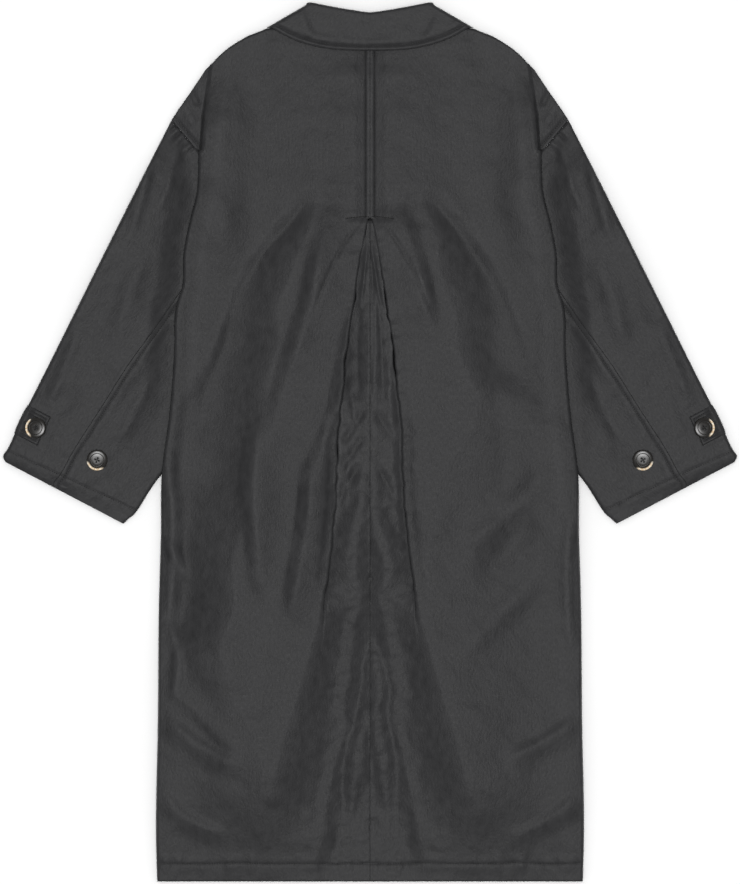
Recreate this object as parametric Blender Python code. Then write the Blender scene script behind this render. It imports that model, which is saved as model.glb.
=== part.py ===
"""Long padded coat laid flat, face down, so that its back and the inverted pleat in it are uppermost.

Sizes are in millimetres, taken as a tailor would: "up" is the height above the hem, and "half" is the
distance from the centre line. X runs to the wearer's right, Y from hem to collar and Z up from the floor.
"""
import math

import bmesh
import bpy
import numpy as np

for old_object in list(bpy.data.objects):
    bpy.data.objects.remove(old_object, do_unlink=True)


def table(columns, *rows):
    """A short table of sizes: one array for each named column."""
    return dict(zip(columns.split(), np.array(rows, float).T))


# Driving sizes
MM = 0.001
LENGTH = 1195.5           # hem to the top of the collar's roll
WALL = 3.0                # shell, wadding and lining pressed together
GAP = 0.3                 # clearance at seams
LOOSE = 0.9               # air between layers that lie on each other
LAYER = WALL + LOOSE      # height that one layer takes up
FRONT_LEVEL = WALL / 2    # middle of a front panel on the floor
BACK_LEVEL = FRONT_LEVEL + LAYER
LAP_HALF = 30.0           # each front passes the centre by this much
BAR_UP = 902.0            # the bar tack where the pleat opens
PLEAT_SPREAD = 70.0       # over which the back settles beside the pleat
PLEAT_TOP = (BAR_UP + 8, 1020.0)    # and the heights over which it settles above the bar

# Where the back and the upper front rise over what lies below: first spans of height, then of half width
# or of distance in from the outer edge, then the rise itself
LAP_TOP = (1085.0, 1125.0)
LAP_REACH = (LAP_HALF + 8, LAP_HALF + 50)
FRONT_LAP_REACH = (LAP_HALF + 12, LAP_HALF + 40)
UNDERARM = (490.0, 556.0)
UNDERARM_EDGE = (500.0, 545.0)
SHOULDER = (1005.0, 1104.0)
SLEEVE_REACH = (50.0, 105.0)
SLEEVE_RISE = 4.6
EDGE_REACH = (7.0, 30.0)
EDGE_RISE = 2.5
EDGE_SLEEVE_RISE = 1.1
NECK = (1060.0, 1105.0)
NECK_REACH = (125.0, 165.0)
NECK_RISE = 3.6

# Neck and shoulder of the back, and the front's own neckline
BACK_TOP = table(
    "half up",
    (0, 1149.2), (30, 1150.2), (61, 1153.5), (122, 1163), (132, 1158), (148, 1156), (166, 1150),
    (181, 1141.5), (193, 1133.5), (203, 1125), (211, 1117), (221, 1104),
)
FRONT_TOP = table(
    "half up",
    (0, 1078), (141, 1160), (148, 1157), (166, 1150), (181, 1141.5), (193, 1133.5),
    (203, 1125), (211, 1117), (221, 1104), (242, 1076.5), (261, 1049.5), (269.5, 1035.5),
)
# The back's outer edge: folded over the sleeve from shoulder to underarm, then the side seam
BACK_SIDE = table(
    "up half",
    (0, 289.5), (56, 291), (220, 288.5), (380, 287), (470, 284.5), (556, 283), (634, 273), (727, 266),
    (778, 264.5), (812, 255), (850, 254), (895, 246), (935, 236), (995, 233), (1060, 226), (1104, 220),
)
# What shows of the back beyond that fold: shoulder edge, then the armhole seam
CAP_EDGE = table("up half", (996, 236.5), (1035.5, 270), (1049.5, 261), (1076.5, 242), (1104, 223.5))
# The inverted pleat. Tuck is how far the cloth doubles under itself; below zero it lies open by that much
PLEAT = table(
    "up crest tuck layers",
    (0, 146, -90, 0.25),
    (100, 138, -85, 1.1),
    (187, 120, -68, 1.7),
    (267, 95, -45, 1.9),
    (354, 72, -12, 2),
    (437, 56, 5, 2),
    (524, 48.5, 13, 2),
    (634, 44, 21, 2),
    (702, 38.5, 26, 2),
    (736, 34, 28, 2),
    (803, 23, 31, 2),
    (845, 18.5, 32, 2),
    (902, 9.5, 32, 2),
)
# Sleeve stations from armhole to cuff; seam and inseam are fractions of the width, on top and underneath
SLEEVE = table(
    "outer outer_up inner inner_up seam inseam",
    (270.6, 1033.8, 195.8, 950, 0.90, 0.62),
    (304.6, 967.6, 204, 905, 0.88, 0.62),
    (340, 897, 212, 838, 0.84, 0.62),
    (378, 821, 220, 758, 0.66, 0.60),
    (413.4, 750, 234, 670, 0.50, 0.60),
    (447.4, 682, 262, 587, 0.43, 0.60),
    (473.3, 630.4, 296.5, 536.5, 0.415, 0.60),
    (491, 592, 317, 504, 0.41, 0.60),
    (499, 579, 328, 494, 0.41, 0.60),
    (491, 567.5, 342, 489, 0.41, 0.60),
)
SLEEVE_STATIONS = (0, 0.5, 1, 2, 3, 4, 5, 5.4, 5.63, 6.06, 6.5, 6.75, 7, 8, 9)
SLEEVE_LOFT = 2.5         # how far the top of a sleeve stands off its underside
LOFT_BEGINS = (0, 2.5)    # stations
LOFT_ENDS = (7, 9.5)
PLUMP = table("station across", (0, 0.5), (3, 0.55), (6, 1))    # the part of the width that stands off
# Largest folds of the back, as soft ridges; x is negative on the wearer's left
FOLDS = table(
    "from_x from_up to_x to_up width height",
    (-91, 878, -150, 638, 16, 5.0),
    (-150, 638, -186, 437, 18, 4.0),
    (-64, 822, -110, 606, 12, 3.5),
    (74, 915, 137, 719, 15, 4.5),
    (68, 822, 108, 610, 12, 3.0),
    (-283, 225, -167, 149, 10, 4.0),
    (-287, 124, -182, 60, 10, 3.0),
    (285, 225, 178, 165, 10, 4.0),
    (288, 124, 177, 56, 10, 3.0),
    (-42, 300, -72, 67, 11, 4.0),
    (42, 300, 72, 67, 11, 4.0),
)
FOLD_BEGINS = (-0.15, 0.2)    # parts of a fold's length
FOLD_ENDS = (0.75, 1.15)

# Collar: heights at the centre and at the sides, half widths at the sides
COLLAR_WALL = 3.0
ROLL_HALF = 87.0
FALL_HALF = 141.0
STAND_HALF = 122.0
COLLAR_SIDE = table("roll fall stand", (1195.5, 1161, 1168))
COLLAR_BACK = table("roll fall stand", (1182, 1130, 1150))
COLLAR_FRONT = table("roll fall stand", (1120, 1079, 1096))
COLLAR_BEND = table("roll fall stand", (1.2, 2.9, 2.0))   # how late each back line rises to the sides
FALL_LEVELS = (COLLAR_WALL / 2, 12.8)                     # of the fall, in front and at the back
STAND_RISE = 2.0                                          # of the stand from the collar's middle
COLLAR_END_GAP = 1.0

# Cuff tab and buttons
TAB_WALL = 3.0
TAB_SPAN = (5.63, 6.5)    # sleeve stations of its two edges
TAB_REACH = 35.0          # over the top of the sleeve
TAB_RETURN = 22.0         # under the sleeve
TAB_LIFT = TAB_WALL + GAP    # of the sleeve, where the tab passes under it
TAB_BEGINS = (5.13, 5.58)    # stations over which the sleeve lifts and settles
TAB_ENDS = (6.55, 7.0)
TAB_SETTLES = (0.2, 0.4)     # parts of the sleeve's width
TAB_ROWS = 5
BUTTON_RADIUS = 14.2
BUTTON_SIDES = 22
BUTTON_PROFILE = table(
    "radius height",
    (0, 2.9), (8.4, 3.1), (10.2, 3.7), (11.8, 4.4), (13.4, 3.8),
    (BUTTON_RADIUS, 2.2), (13.6, 0.8), (12.0, 0), (0, 0),
)
TAB_BUTTON = {"station": 6.06, "across": 0.115, "tilt": 8.0, "settle": 0.75}
CUFF_BUTTON = {"station": 6.05, "across": 0.585, "tilt": 0.0, "settle": 0.0}

CLOTH_COLOUR = (0.048, 0.048, 0.049, 1)
BUTTON_COLOUR = (0.012, 0.011, 0.011, 1)
SHARP_ANGLE = math.radians(50)


def material(name, colour, roughness):
    """A plain finish."""
    made = bpy.data.materials.new(name)
    made.use_nodes = True
    shader = made.node_tree.nodes["Principled BSDF"]
    shader.inputs["Base Color"].default_value = colour
    shader.inputs["Roughness"].default_value = roughness
    shader.inputs["Metallic"].default_value = 0.0
    return made


CLOTH = material("padded_twill", CLOTH_COLOUR, roughness=0.5)
HORN = material("dark_horn", BUTTON_COLOUR, roughness=0.22)


def ease(span, value):
    """0 at the start of a span, 1 at its end, with a soft start and end."""
    low, high = span
    part = np.clip((np.asarray(value, float) - low) / (high - low), 0, 1)
    return part * part * (3 - 2 * part)


def read(sizes, key, column, at):
    """A column of a table, read between its rows."""
    return np.interp(at, sizes[key], sizes[column])


def skins(grid, thickness=WALL):
    """Upper and lower skins of a grid of points (x, up, z), moved apart within each row's own section."""
    ahead = np.roll(grid, -1, 1)
    behind = np.roll(grid, 1, 1)
    ahead[:, -1] = np.nan
    behind[:, 0] = np.nan
    run = np.where(np.isnan(ahead), grid, ahead) - np.where(np.isnan(behind), grid, behind)
    normal = np.stack([-run[..., 2], np.zeros(run.shape[:2]), run[..., 0]], axis=2)
    normal *= thickness / 2 / np.linalg.norm(normal, axis=2, keepdims=True)
    return grid + normal, grid - normal


def add_object(name, vertices, faces, finish):
    """A closed mesh, its faces pointing out, in metres and centred on the coat's length."""
    shift = np.array((0, LENGTH / 2, 0))
    mesh = bpy.data.meshes.new(name)
    mesh.from_pydata([tuple((np.asarray(v) - shift) * MM) for v in vertices], [], faces)
    body = bmesh.new()
    body.from_mesh(mesh)
    bmesh.ops.recalc_face_normals(body, faces=body.faces)
    body.to_mesh(mesh)
    body.free()
    mesh.shade_smooth()
    mesh.set_sharp_from_angle(angle=SHARP_ANGLE)
    mesh.materials.append(finish)
    made = bpy.data.objects.new(name, mesh)
    bpy.context.scene.collection.objects.link(made)
    return made


def cloth_wall(name, outer, inner):
    """A wall of cloth between two grids of points (x, up, z); it is cut away where a point is NaN."""
    here = ~np.isnan(outer[..., 0])
    number = np.cumsum(here).reshape(here.shape) - 1
    count = int(here.sum())
    vertices = np.concatenate([outer[here], inner[here]])
    faces = []
    edges = set()
    for i in range(here.shape[0] - 1):
        for j in range(here.shape[1] - 1):
            if not here[i:i + 2, j:j + 2].all():
                continue
            ring = [number[i, j], number[i, j + 1], number[i + 1, j + 1], number[i + 1, j]]
            ring = [int(corner) for corner in ring]
            faces.append(ring)
            faces.append([corner + count for corner in reversed(ring)])
            edges.update(zip(ring, ring[1:] + ring[:1]))
    for start, end in sorted(edges):
        if (end, start) not in edges:
            faces.append([end, start, start + count, end + count])
    return add_object(name, vertices, faces, CLOTH)


def fold_section(tuck, drop, arc_steps, straight_steps):
    """Points (inward, down) of cloth that turns under itself by tuck and drops to the layer below.

    Two equal arcs, with a straight between them where the cloth doubles back; with no tuck they open out.
    """
    straight = max(tuck, WALL / 2)
    if tuck >= 0:
        turn = math.pi
        radius = drop / 4
    else:
        turn = 2 * math.atan2(drop, -tuck)
        radius = (tuck * tuck + drop * drop) / (4 * drop)
    points = []
    for step in range(1, arc_steps + 1):
        angle = turn * step / arc_steps
        points.append((radius * math.sin(angle), radius * (1 - math.cos(angle))))
    inward, down = points[-1]
    for step in range(1, straight_steps + 1):
        part = straight * step / straight_steps
        points.append((inward + part * math.cos(turn), down + part * math.sin(turn)))
    inward, down = points[-1]
    for step in range(1, arc_steps + 1):
        angle = turn * (1 - step / arc_steps)
        points.append((
            inward + radius * (math.sin(turn) - math.sin(angle)),
            down + radius * (math.cos(angle) - math.cos(turn)),
        ))
    excess = points[-1][1] / drop
    return [(inward, down / excess) for inward, down in points]


def lap_lift(half, up):
    """Height added where the two fronts lap below."""
    return LAYER * (1 - ease(LAP_REACH, half)) * (1 - ease(LAP_TOP, up))


def fold_lift(x, up):
    """Height of the back's largest folds at a point."""
    lift = np.zeros(np.broadcast(x, up).shape)
    for from_x, from_up, to_x, to_up, width, height in zip(*FOLDS.values()):
        run = np.array((to_x - from_x, to_up - from_up))
        span = np.hypot(*run)
        along = ((x - from_x) * run[0] + (up - from_up) * run[1]) / span**2
        aside = ((x - from_x) * run[1] - (up - from_up) * run[0]) / span
        ends = ease(FOLD_BEGINS, along) * (1 - ease(FOLD_ENDS, along))
        lift = lift + height * ends * np.exp(-(aside / width) ** 2)
    return lift


def sleeve_cover(up):
    """1 where the back lies on a sleeve, 0 at the shoulder and along the side seam."""
    return ease(UNDERARM, up) * (1 - ease(SHOULDER, up))


def edge_level(up):
    """Middle of the back's wall at the crest of its outer edge."""
    return BACK_LEVEL + EDGE_RISE + (SLEEVE_RISE + EDGE_SLEEVE_RISE) * sleeve_cover(up)


def back_level(half, up):
    """Middle of the back's wall, apart from the folds and the lap below."""
    pleat_up = np.minimum(up, BAR_UP)
    crest = read(PLEAT, "up", "crest", pleat_up)
    tuck = np.maximum(read(PLEAT, "up", "tuck", pleat_up), 0)
    drop = LAYER * read(PLEAT, "up", "layers", pleat_up) * (1 - ease(PLEAT_TOP, up))
    beside = crest + tuck + 2 * WALL
    level = BACK_LEVEL + drop * (1 - ease((beside, beside + PLEAT_SPREAD), half))
    level = level + NECK_RISE * ease(NECK, up) * (1 - ease(NECK_REACH, half))
    inside = read(BACK_SIDE, "up", "half", up) - half
    cover = sleeve_cover(up)
    level = level + SLEEVE_RISE * cover * (1 - ease(SLEEVE_REACH, inside))
    return level + (EDGE_RISE + EDGE_SLEEVE_RISE * cover) * (1 - ease(EDGE_REACH, inside))


def panel_rows(top, centre_ups, side_ups, starts, ends, columns):
    """Points (half, up) of a body panel: its first row follows neck and shoulder, lower ones straighten."""
    across = np.linspace(0, 1, columns)
    first = starts[0] + (ends[0] - starts[0]) * across
    shape = read(top, "half", "up", first) - (centre_ups[0] + (side_ups[0] - centre_ups[0]) * across)
    rows = []
    for i, (centre, side, start, end) in enumerate(zip(centre_ups, side_ups, starts, ends)):
        fade = max(0, 1 - i / STRAIGHT_ROW) ** SHOULDER_FADE
        half = start + (end - start) * across
        rows.append(np.stack([half, centre + (side - centre) * across + shape * fade], axis=1))
    return np.array(rows)


STRAIGHT_ROW = 8          # first row of a panel that no longer follows its shoulder
SHOULDER_FADE = 1.5       # how soon the rows before it straighten

# Rows of the back, by their heights at the centre and at the outer edge
BACK_ROWS = table(
    "centre side",
    (1149.2, 1104), (1125, 1087), (1098, 1069), (1068, 1051), (1040, 1035.5), (1012, 1015),
    (989, 997), (984, 993.5), (942, 946), (BAR_UP + 1, BAR_UP + 1),
)
PLEAT_UPS = np.linspace(BAR_UP - 1, 0, 26)
BACK_CENTRE_UPS = np.concatenate([BACK_ROWS["centre"], PLEAT_UPS])
BACK_SIDE_UPS = np.concatenate([BACK_ROWS["side"], PLEAT_UPS])
FIRST_PLEAT_ROW = len(BACK_ROWS["side"])
CAP_ROWS = 7              # rows of the back that reach out to the armhole
CAP_STEP = 5.0            # length of the slope down to them
CAP_RISE = 0.7            # of the cloth beyond it, before it settles on the front
MAIN_COLUMNS = 12
LIP_COLUMNS = 4
CAP_COLUMNS = 3
CAP_ARC_STEPS = 2
ARC_STEPS = 4
TUCK_STEPS = 2
UNDERLAY_COLUMNS = 4


def back_half(name, side):
    """One half of the back, cut in one with its half of the pleat."""
    edge_z = edge_level(BACK_SIDE_UPS)
    rests_on = FRONT_LEVEL + WALL / 2 + GAP + LAYER * ease(UNDERARM_EDGE, BACK_SIDE_UPS)
    lip = edge_z - rests_on - GAP
    lip[:CAP_ROWS] += CAP_STEP
    side_half = read(BACK_SIDE, "up", "half", BACK_SIDE_UPS) - WALL / 2 - lip
    rows = len(BACK_SIDE_UPS)
    starts = np.full(rows, GAP / 2)
    starts[FIRST_PLEAT_ROW:] = read(PLEAT, "up", "crest", BACK_CENTRE_UPS[FIRST_PLEAT_ROW:])
    plan = panel_rows(BACK_TOP, BACK_CENTRE_UPS, BACK_SIDE_UPS, starts, side_half, MAIN_COLUMNS)
    section_columns = 2 * ARC_STEPS + TUCK_STEPS
    main = UNDERLAY_COLUMNS + section_columns
    grid = np.full((rows, main + MAIN_COLUMNS + LIP_COLUMNS + CAP_COLUMNS, 3), np.nan)
    grid[:, main:main + MAIN_COLUMNS, :2] = plan
    grid[:, main:main + MAIN_COLUMNS, 2] = back_level(plan[..., 0], plan[..., 1])
    for i in range(rows):
        up = BACK_SIDE_UPS[i]
        edge_x, edge_up, edge_top = grid[i, main + MAIN_COLUMNS - 1]
        first = main + MAIN_COLUMNS
        if i < CAP_ROWS:
            cap_z = BACK_LEVEL + CAP_RISE
            turn = fold_section(-lip[i], edge_top - cap_z, CAP_ARC_STEPS, 1)
            turn.pop(CAP_ARC_STEPS)
        else:
            angles = np.linspace(0, math.pi / 2, LIP_COLUMNS + 1)[1:]
            turn = [(lip[i] * math.sin(a), lip[i] * (1 - math.cos(a))) for a in angles]
        for k, (out, down) in enumerate(turn):
            grid[i, first + k] = (edge_x + out, edge_up, edge_top - down)
        if i < CAP_ROWS:
            cap_x = read(CAP_EDGE, "up", "half", up)
            begin_x, _, begin_z = grid[i, first + LIP_COLUMNS - 1]
            for k in range(1, CAP_COLUMNS + 1):
                part = k / CAP_COLUMNS
                grid[i, first + LIP_COLUMNS + k - 1] = (
                    begin_x + (cap_x - begin_x) * part, up, begin_z - CAP_RISE * part,
                )
            beyond = grid[i, first:]
            beyond[:, 1] = np.interp(beyond[:, 0], (edge_x, cap_x), (edge_up, up))
        if i >= FIRST_PLEAT_ROW:
            crest_x, crest_up, crest_z = grid[i, main]
            tuck = read(PLEAT, "up", "tuck", up)
            drop = LAYER * read(PLEAT, "up", "layers", up)
            section = fold_section(tuck, drop, ARC_STEPS, TUCK_STEPS)
            for k, (inward, down) in enumerate(section):
                grid[i, main - 1 - k] = (crest_x - inward, crest_up, crest_z - down)
            begin = grid[i, UNDERLAY_COLUMNS]
            for k in range(UNDERLAY_COLUMNS):
                grid[i, k] = begin
                grid[i, k, 0] = GAP / 2 + (begin[0] - GAP / 2) * k / UNDERLAY_COLUMNS
    grid[..., 2] += lap_lift(grid[..., 0], grid[..., 1])
    grid[..., 0] *= side
    grid[..., 2] += fold_lift(grid[..., 0], grid[..., 1])
    return cloth_wall(name, *skins(grid))


# Rows of a front, by their heights at the centre and at the side
FRONT_ROWS = table(
    "centre side",
    (1078, 1035.5), (1050, 1010), (1018, 985), (980, 951.5), (930, 905), (850, 838), (760, 758),
    (670, 670), (587, 587), (530, 556), (440, 470), (320, 330), (165, 165), (0, 0),
)
ARMHOLE_ROW = 3           # the row where its armhole ends and it begins to lie along the sleeve
SLEEVE_ROW = 9            # the last row that lies along the sleeve
SLEEVE_CLEAR = 1.0
FRONT_COLUMNS = 11


def front_half(name, side, on_top):
    """One front, flat on the floor; the one on top rises over the other where they lap."""
    side_ups = FRONT_ROWS["side"]
    along_sleeve = np.interp(side_ups, SLEEVE["inner_up"][::-1], SLEEVE["inner"][::-1]) - SLEEVE_CLEAR
    side_half = read(BACK_SIDE, "up", "half", side_ups)
    side_half[:SLEEVE_ROW + 1] = np.minimum(side_half, along_sleeve)[:SLEEVE_ROW + 1]
    armhole_ups = (side_ups[ARMHOLE_ROW], side_ups[0])
    armhole_halves = (along_sleeve[ARMHOLE_ROW], FRONT_TOP["half"][-1])
    side_half[:ARMHOLE_ROW] = np.interp(side_ups[:ARMHOLE_ROW], armhole_ups, armhole_halves)
    starts = np.zeros(len(side_ups))
    plan = panel_rows(FRONT_TOP, FRONT_ROWS["centre"], side_ups, starts, side_half, FRONT_COLUMNS)
    lap = [[(-LAP_HALF, np.interp(LAP_HALF, row[:, 0], row[:, 1]))] for row in plan]
    plan = np.concatenate([lap, plan], axis=1)
    level = np.full(plan.shape[:2], FRONT_LEVEL)
    if on_top:
        level = level + LAYER * (1 - ease(FRONT_LAP_REACH, plan[..., 0]))
    grid = np.concatenate([plan, level[..., None]], axis=2)
    grid[..., 0] *= side
    return cloth_wall(name, *skins(grid))


def sleeve_at(station, column):
    """A size of the sleeve at a station, which may lie between two rows."""
    return np.interp(station, np.arange(len(SLEEVE["outer"])), SLEEVE[column])


def sleeve_point(station, run, height, side):
    """A point of the sleeve: run mm in from its outer edge, at a height."""
    outer = np.array((sleeve_at(station, "outer"), sleeve_at(station, "outer_up")))
    inner = np.array((sleeve_at(station, "inner"), sleeve_at(station, "inner_up")))
    x, up = outer + (inner - outer) * run / np.hypot(*(inner - outer))
    return (side * x, up, height)


def sleeve_width(station):
    """Width of the flat sleeve at a station."""
    return math.hypot(
        sleeve_at(station, "outer") - sleeve_at(station, "inner"),
        sleeve_at(station, "outer_up") - sleeve_at(station, "inner_up"),
    )


def sleeve_levels(station, across):
    """Middles of the sleeve's lower and upper walls, a fraction across it from the outer edge."""
    near_tab = ease(TAB_BEGINS, station) * (1 - ease(TAB_ENDS, station))
    lower = WALL / 2 + TAB_LIFT * near_tab * (1 - ease(TAB_SETTLES, across))
    plump = read(PLUMP, "station", "across", station)
    loft = SLEEVE_LOFT * math.sin(math.pi * min(max(across / plump, 0), 1))
    loft = loft * ease(LOFT_BEGINS, station) * (1 - ease(LOFT_ENDS, station))
    return lower, lower + LAYER + loft


TOP_POINTS = 6            # of a sleeve's section: on top, round the edge and underneath
TURN_POINTS = 5
UNDER_POINTS = 4


def sleeve_section(station, side, top_run, under_run, inner=False, offset=0.0):
    """Points round one edge of the sleeve, from top_run to under_run, both measured from the outer edge."""
    width = sleeve_width(station)
    turn_run = WALL / 2 + LAYER / 2
    if inner:
        turn_run = width - turn_run
    lower, upper = sleeve_levels(station, turn_run / width)
    radius = (upper - lower) / 2 + offset
    points = []
    for run in np.linspace(top_run, turn_run, TOP_POINTS)[:-1]:
        points.append(sleeve_point(station, run, sleeve_levels(station, run / width)[1] + offset, side))
    for angle in np.linspace(0, math.pi, TURN_POINTS):
        out = radius * math.sin(angle)
        run = turn_run + (out if inner else -out)
        points.append(sleeve_point(station, run, (upper + lower) / 2 + radius * math.cos(angle), side))
    for run in np.linspace(turn_run, under_run, UNDER_POINTS)[1:]:
        points.append(sleeve_point(station, run, sleeve_levels(station, run / width)[0] - offset, side))
    return points


def sleeve_piece(name, side, inner):
    """The top sleeve, round the outer edge, or the under sleeve, round the inner one."""
    clear = GAP / 2 if inner else -GAP / 2

    def skin(offset):
        rows = []
        for station in SLEEVE_STATIONS:
            width = sleeve_width(station)
            top_run = width * sleeve_at(station, "seam") + clear
            under_run = width * sleeve_at(station, "inseam") + clear
            rows.append(sleeve_section(station, side, top_run, under_run, inner, offset))
        return np.array(rows)
    return cloth_wall(name, skin(WALL / 2), skin(-WALL / 2))


def cuff_tab(name, side):
    """A strap round the outer edge of the sleeve, made from the sleeve's own section moved out."""
    stations = np.linspace(*TAB_SPAN, TAB_ROWS)

    def skin(offset):
        return np.array([
            sleeve_section(station, side, TAB_REACH, TAB_RETURN, offset=offset) for station in stations
        ])
    on_sleeve = WALL / 2 + GAP
    return cloth_wall(name, skin(on_sleeve + TAB_WALL), skin(on_sleeve))


def button(name, side, place, seat):
    """A turned button, resting at a height on the sleeve and tipped towards its outer edge."""
    width = sleeve_width(place["station"])
    height = sleeve_levels(place["station"], place["across"])[1] + WALL / 2 + GAP + seat
    x, up, z = sleeve_point(place["station"], place["across"] * width, height, side)
    edge_x, edge_up, _ = sleeve_point(place["station"], 0, height, side)
    outward = np.array((edge_x - x, edge_up - up)) / math.hypot(edge_x - x, edge_up - up)
    tilt = math.radians(place["tilt"])
    z += BUTTON_RADIUS * math.sin(tilt) - place["settle"]
    lean = np.array((outward[0] * math.cos(tilt), outward[1] * math.cos(tilt), -math.sin(tilt)))
    axis = np.array((outward[0] * math.sin(tilt), outward[1] * math.sin(tilt), math.cos(tilt)))
    level = np.cross(axis, lean)
    centre = np.array((x, up, z))
    inner_radii = BUTTON_PROFILE["radius"][1:-1]
    inner_heights = BUTTON_PROFILE["height"][1:-1]
    vertices = [centre + axis * BUTTON_PROFILE["height"][0], centre + axis * BUTTON_PROFILE["height"][-1]]
    for radius, rise in zip(inner_radii, inner_heights):
        for step in range(BUTTON_SIDES):
            angle = 2 * math.pi * step / BUTTON_SIDES
            spoke = lean * math.cos(angle) + level * math.sin(angle)
            vertices.append(centre + axis * rise + spoke * radius)
    faces = []
    last = 2 + (len(inner_radii) - 1) * BUTTON_SIDES
    for step in range(BUTTON_SIDES):
        after = (step + 1) % BUTTON_SIDES
        faces.append([0, 2 + step, 2 + after])
        faces.append([1, last + after, last + step])
        for ring in range(len(inner_radii) - 1):
            low = 2 + ring * BUTTON_SIDES
            faces.append([low + step, low + BUTTON_SIDES + step, low + BUTTON_SIDES + after, low + after])
    return add_object(name, vertices, faces, HORN)


FLAT_STEPS = 6            # of the ring, from the centre to the side and round the side
SIDE_STEPS = 5
FALL_STEPS = 5            # of the section
ROLL_STEPS = 4
STAND_STEPS = 3


def collar_height(line, part, at_back):
    """Height of one of the collar's lines, a part of the way from the centre to the side."""
    side = COLLAR_SIDE[line][0]
    if at_back:
        centre = COLLAR_BACK[line][0]
        return centre + (side - centre) * part ** COLLAR_BEND[line][0]
    centre = COLLAR_FRONT[line][0]
    return centre + (side - centre) * part


def collar_ring():
    """Places round the collar from its left end: part to the side, turn about it, if at the back, side."""
    half = [(part, 0.0, True) for part in np.linspace(0, 1, FLAT_STEPS + 1)]
    for step in range(1, SIDE_STEPS):
        half.append((1.0, math.pi * step / SIDE_STEPS, step < SIDE_STEPS / 2))
    half += [(part, math.pi, False) for part in np.linspace(1, 0, FLAT_STEPS + 1)]
    left = [(*place, -1) for place in reversed(half[1:])]
    return left + [(*half[0], 1)] + [(*place, 1) for place in half[1:]]


def collar_section(part, at_back, offset):
    """Points (half, rise, up) from the fall's edge over the roll to the foot of the stand."""
    fall_rise = (FALL_LEVELS[1] - FALL_LEVELS[0]) / 2
    roll = (fall_rise - STAND_RISE) / 2
    top = collar_height("roll", part, at_back) - COLLAR_WALL / 2 - roll
    fall = collar_height("fall", part, at_back)
    stand = collar_height("stand", part, at_back)
    section = []
    for w in np.linspace(1, 0, FALL_STEPS + 1):
        half = ROLL_HALF + (FALL_HALF - ROLL_HALF) * w + offset
        section.append((half, fall_rise + offset, top + (fall - top) * w))
    for angle in np.linspace(0, math.pi, ROLL_STEPS + 1)[1:-1]:
        inset = roll - (roll + offset) * math.cos(angle)
        section.append((ROLL_HALF - inset, fall_rise - inset, top + (roll + offset) * math.sin(angle)))
    begin = ROLL_HALF - 2 * roll
    for w in np.linspace(0, 1, STAND_STEPS + 1):
        half = begin + (STAND_HALF - begin) * w - offset
        section.append((half, STAND_RISE - offset, top + (stand - top) * w))
    return section


def collar(name):
    """Fall and stand in one, rolled over along the top and open at the front."""
    middle = sum(FALL_LEVELS) / 2

    def skin(offset):
        rows = []
        for part, turn, at_back, side in collar_ring():
            row = []
            for half, rise, up in collar_section(part, at_back, offset):
                reach = part * (half - COLLAR_WALL / 2 - rise) + rise * math.sin(turn)
                x = side * max(reach, 0 if at_back else COLLAR_END_GAP)
                row.append((x, up, middle + rise * math.cos(turn)))
            rows.append(row)
        return np.array(rows)
    return cloth_wall(name, skin(COLLAR_WALL / 2), skin(-COLLAR_WALL / 2))


def build():
    """Every piece of the coat."""
    for side_name, side in (("left", -1), ("right", 1)):
        back_half(f"back_{side_name}", side)
        front_half(f"front_{side_name}", side, on_top=side < 0)
        sleeve_piece(f"sleeve_{side_name}_top", side, inner=False)
        sleeve_piece(f"sleeve_{side_name}_under", side, inner=True)
        cuff_tab(f"cuff_tab_{side_name}", side)
        button(f"tab_button_{side_name}", side, TAB_BUTTON, seat=GAP + TAB_WALL)
        button(f"cuff_button_{side_name}", side, CUFF_BUTTON, seat=0)
    collar("collar")


build()
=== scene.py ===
"""Looks of a long padded coat that lies flat with its back up: shells of cloth with their creases and sewing,
horn buttons, floor, light and camera.

Sizes are in millimetres. X runs to the wearer's right, "up" is the height above the hem, "half" the distance
from the centre line and z the height above the floor.
"""
import math

import bpy
import numpy as np
from mathutils import Matrix, Vector


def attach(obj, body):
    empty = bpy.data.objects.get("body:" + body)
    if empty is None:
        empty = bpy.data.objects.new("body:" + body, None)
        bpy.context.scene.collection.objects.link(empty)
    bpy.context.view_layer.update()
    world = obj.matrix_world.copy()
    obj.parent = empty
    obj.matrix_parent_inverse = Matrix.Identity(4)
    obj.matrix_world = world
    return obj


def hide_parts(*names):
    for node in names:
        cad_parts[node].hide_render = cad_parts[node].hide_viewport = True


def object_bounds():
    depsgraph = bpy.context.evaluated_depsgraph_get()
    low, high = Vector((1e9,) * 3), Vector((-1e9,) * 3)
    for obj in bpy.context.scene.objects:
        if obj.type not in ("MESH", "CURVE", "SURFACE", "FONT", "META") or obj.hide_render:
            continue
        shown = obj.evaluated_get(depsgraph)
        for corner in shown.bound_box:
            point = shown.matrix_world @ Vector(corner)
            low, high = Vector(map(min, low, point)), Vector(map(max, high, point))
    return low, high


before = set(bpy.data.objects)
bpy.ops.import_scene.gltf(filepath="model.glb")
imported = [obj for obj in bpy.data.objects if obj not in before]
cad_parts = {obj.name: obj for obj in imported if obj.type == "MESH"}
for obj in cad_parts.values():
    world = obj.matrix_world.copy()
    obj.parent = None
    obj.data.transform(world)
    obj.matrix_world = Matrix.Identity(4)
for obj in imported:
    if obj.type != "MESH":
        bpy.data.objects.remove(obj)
CAD_LOW, CAD_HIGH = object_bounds()
SIDES = (("left", -1), ("right", 1))


def table(columns, *rows):
    """A short table of sizes: one array for each named column."""
    return dict(zip(columns.split(), np.array(rows, float).T))


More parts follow.
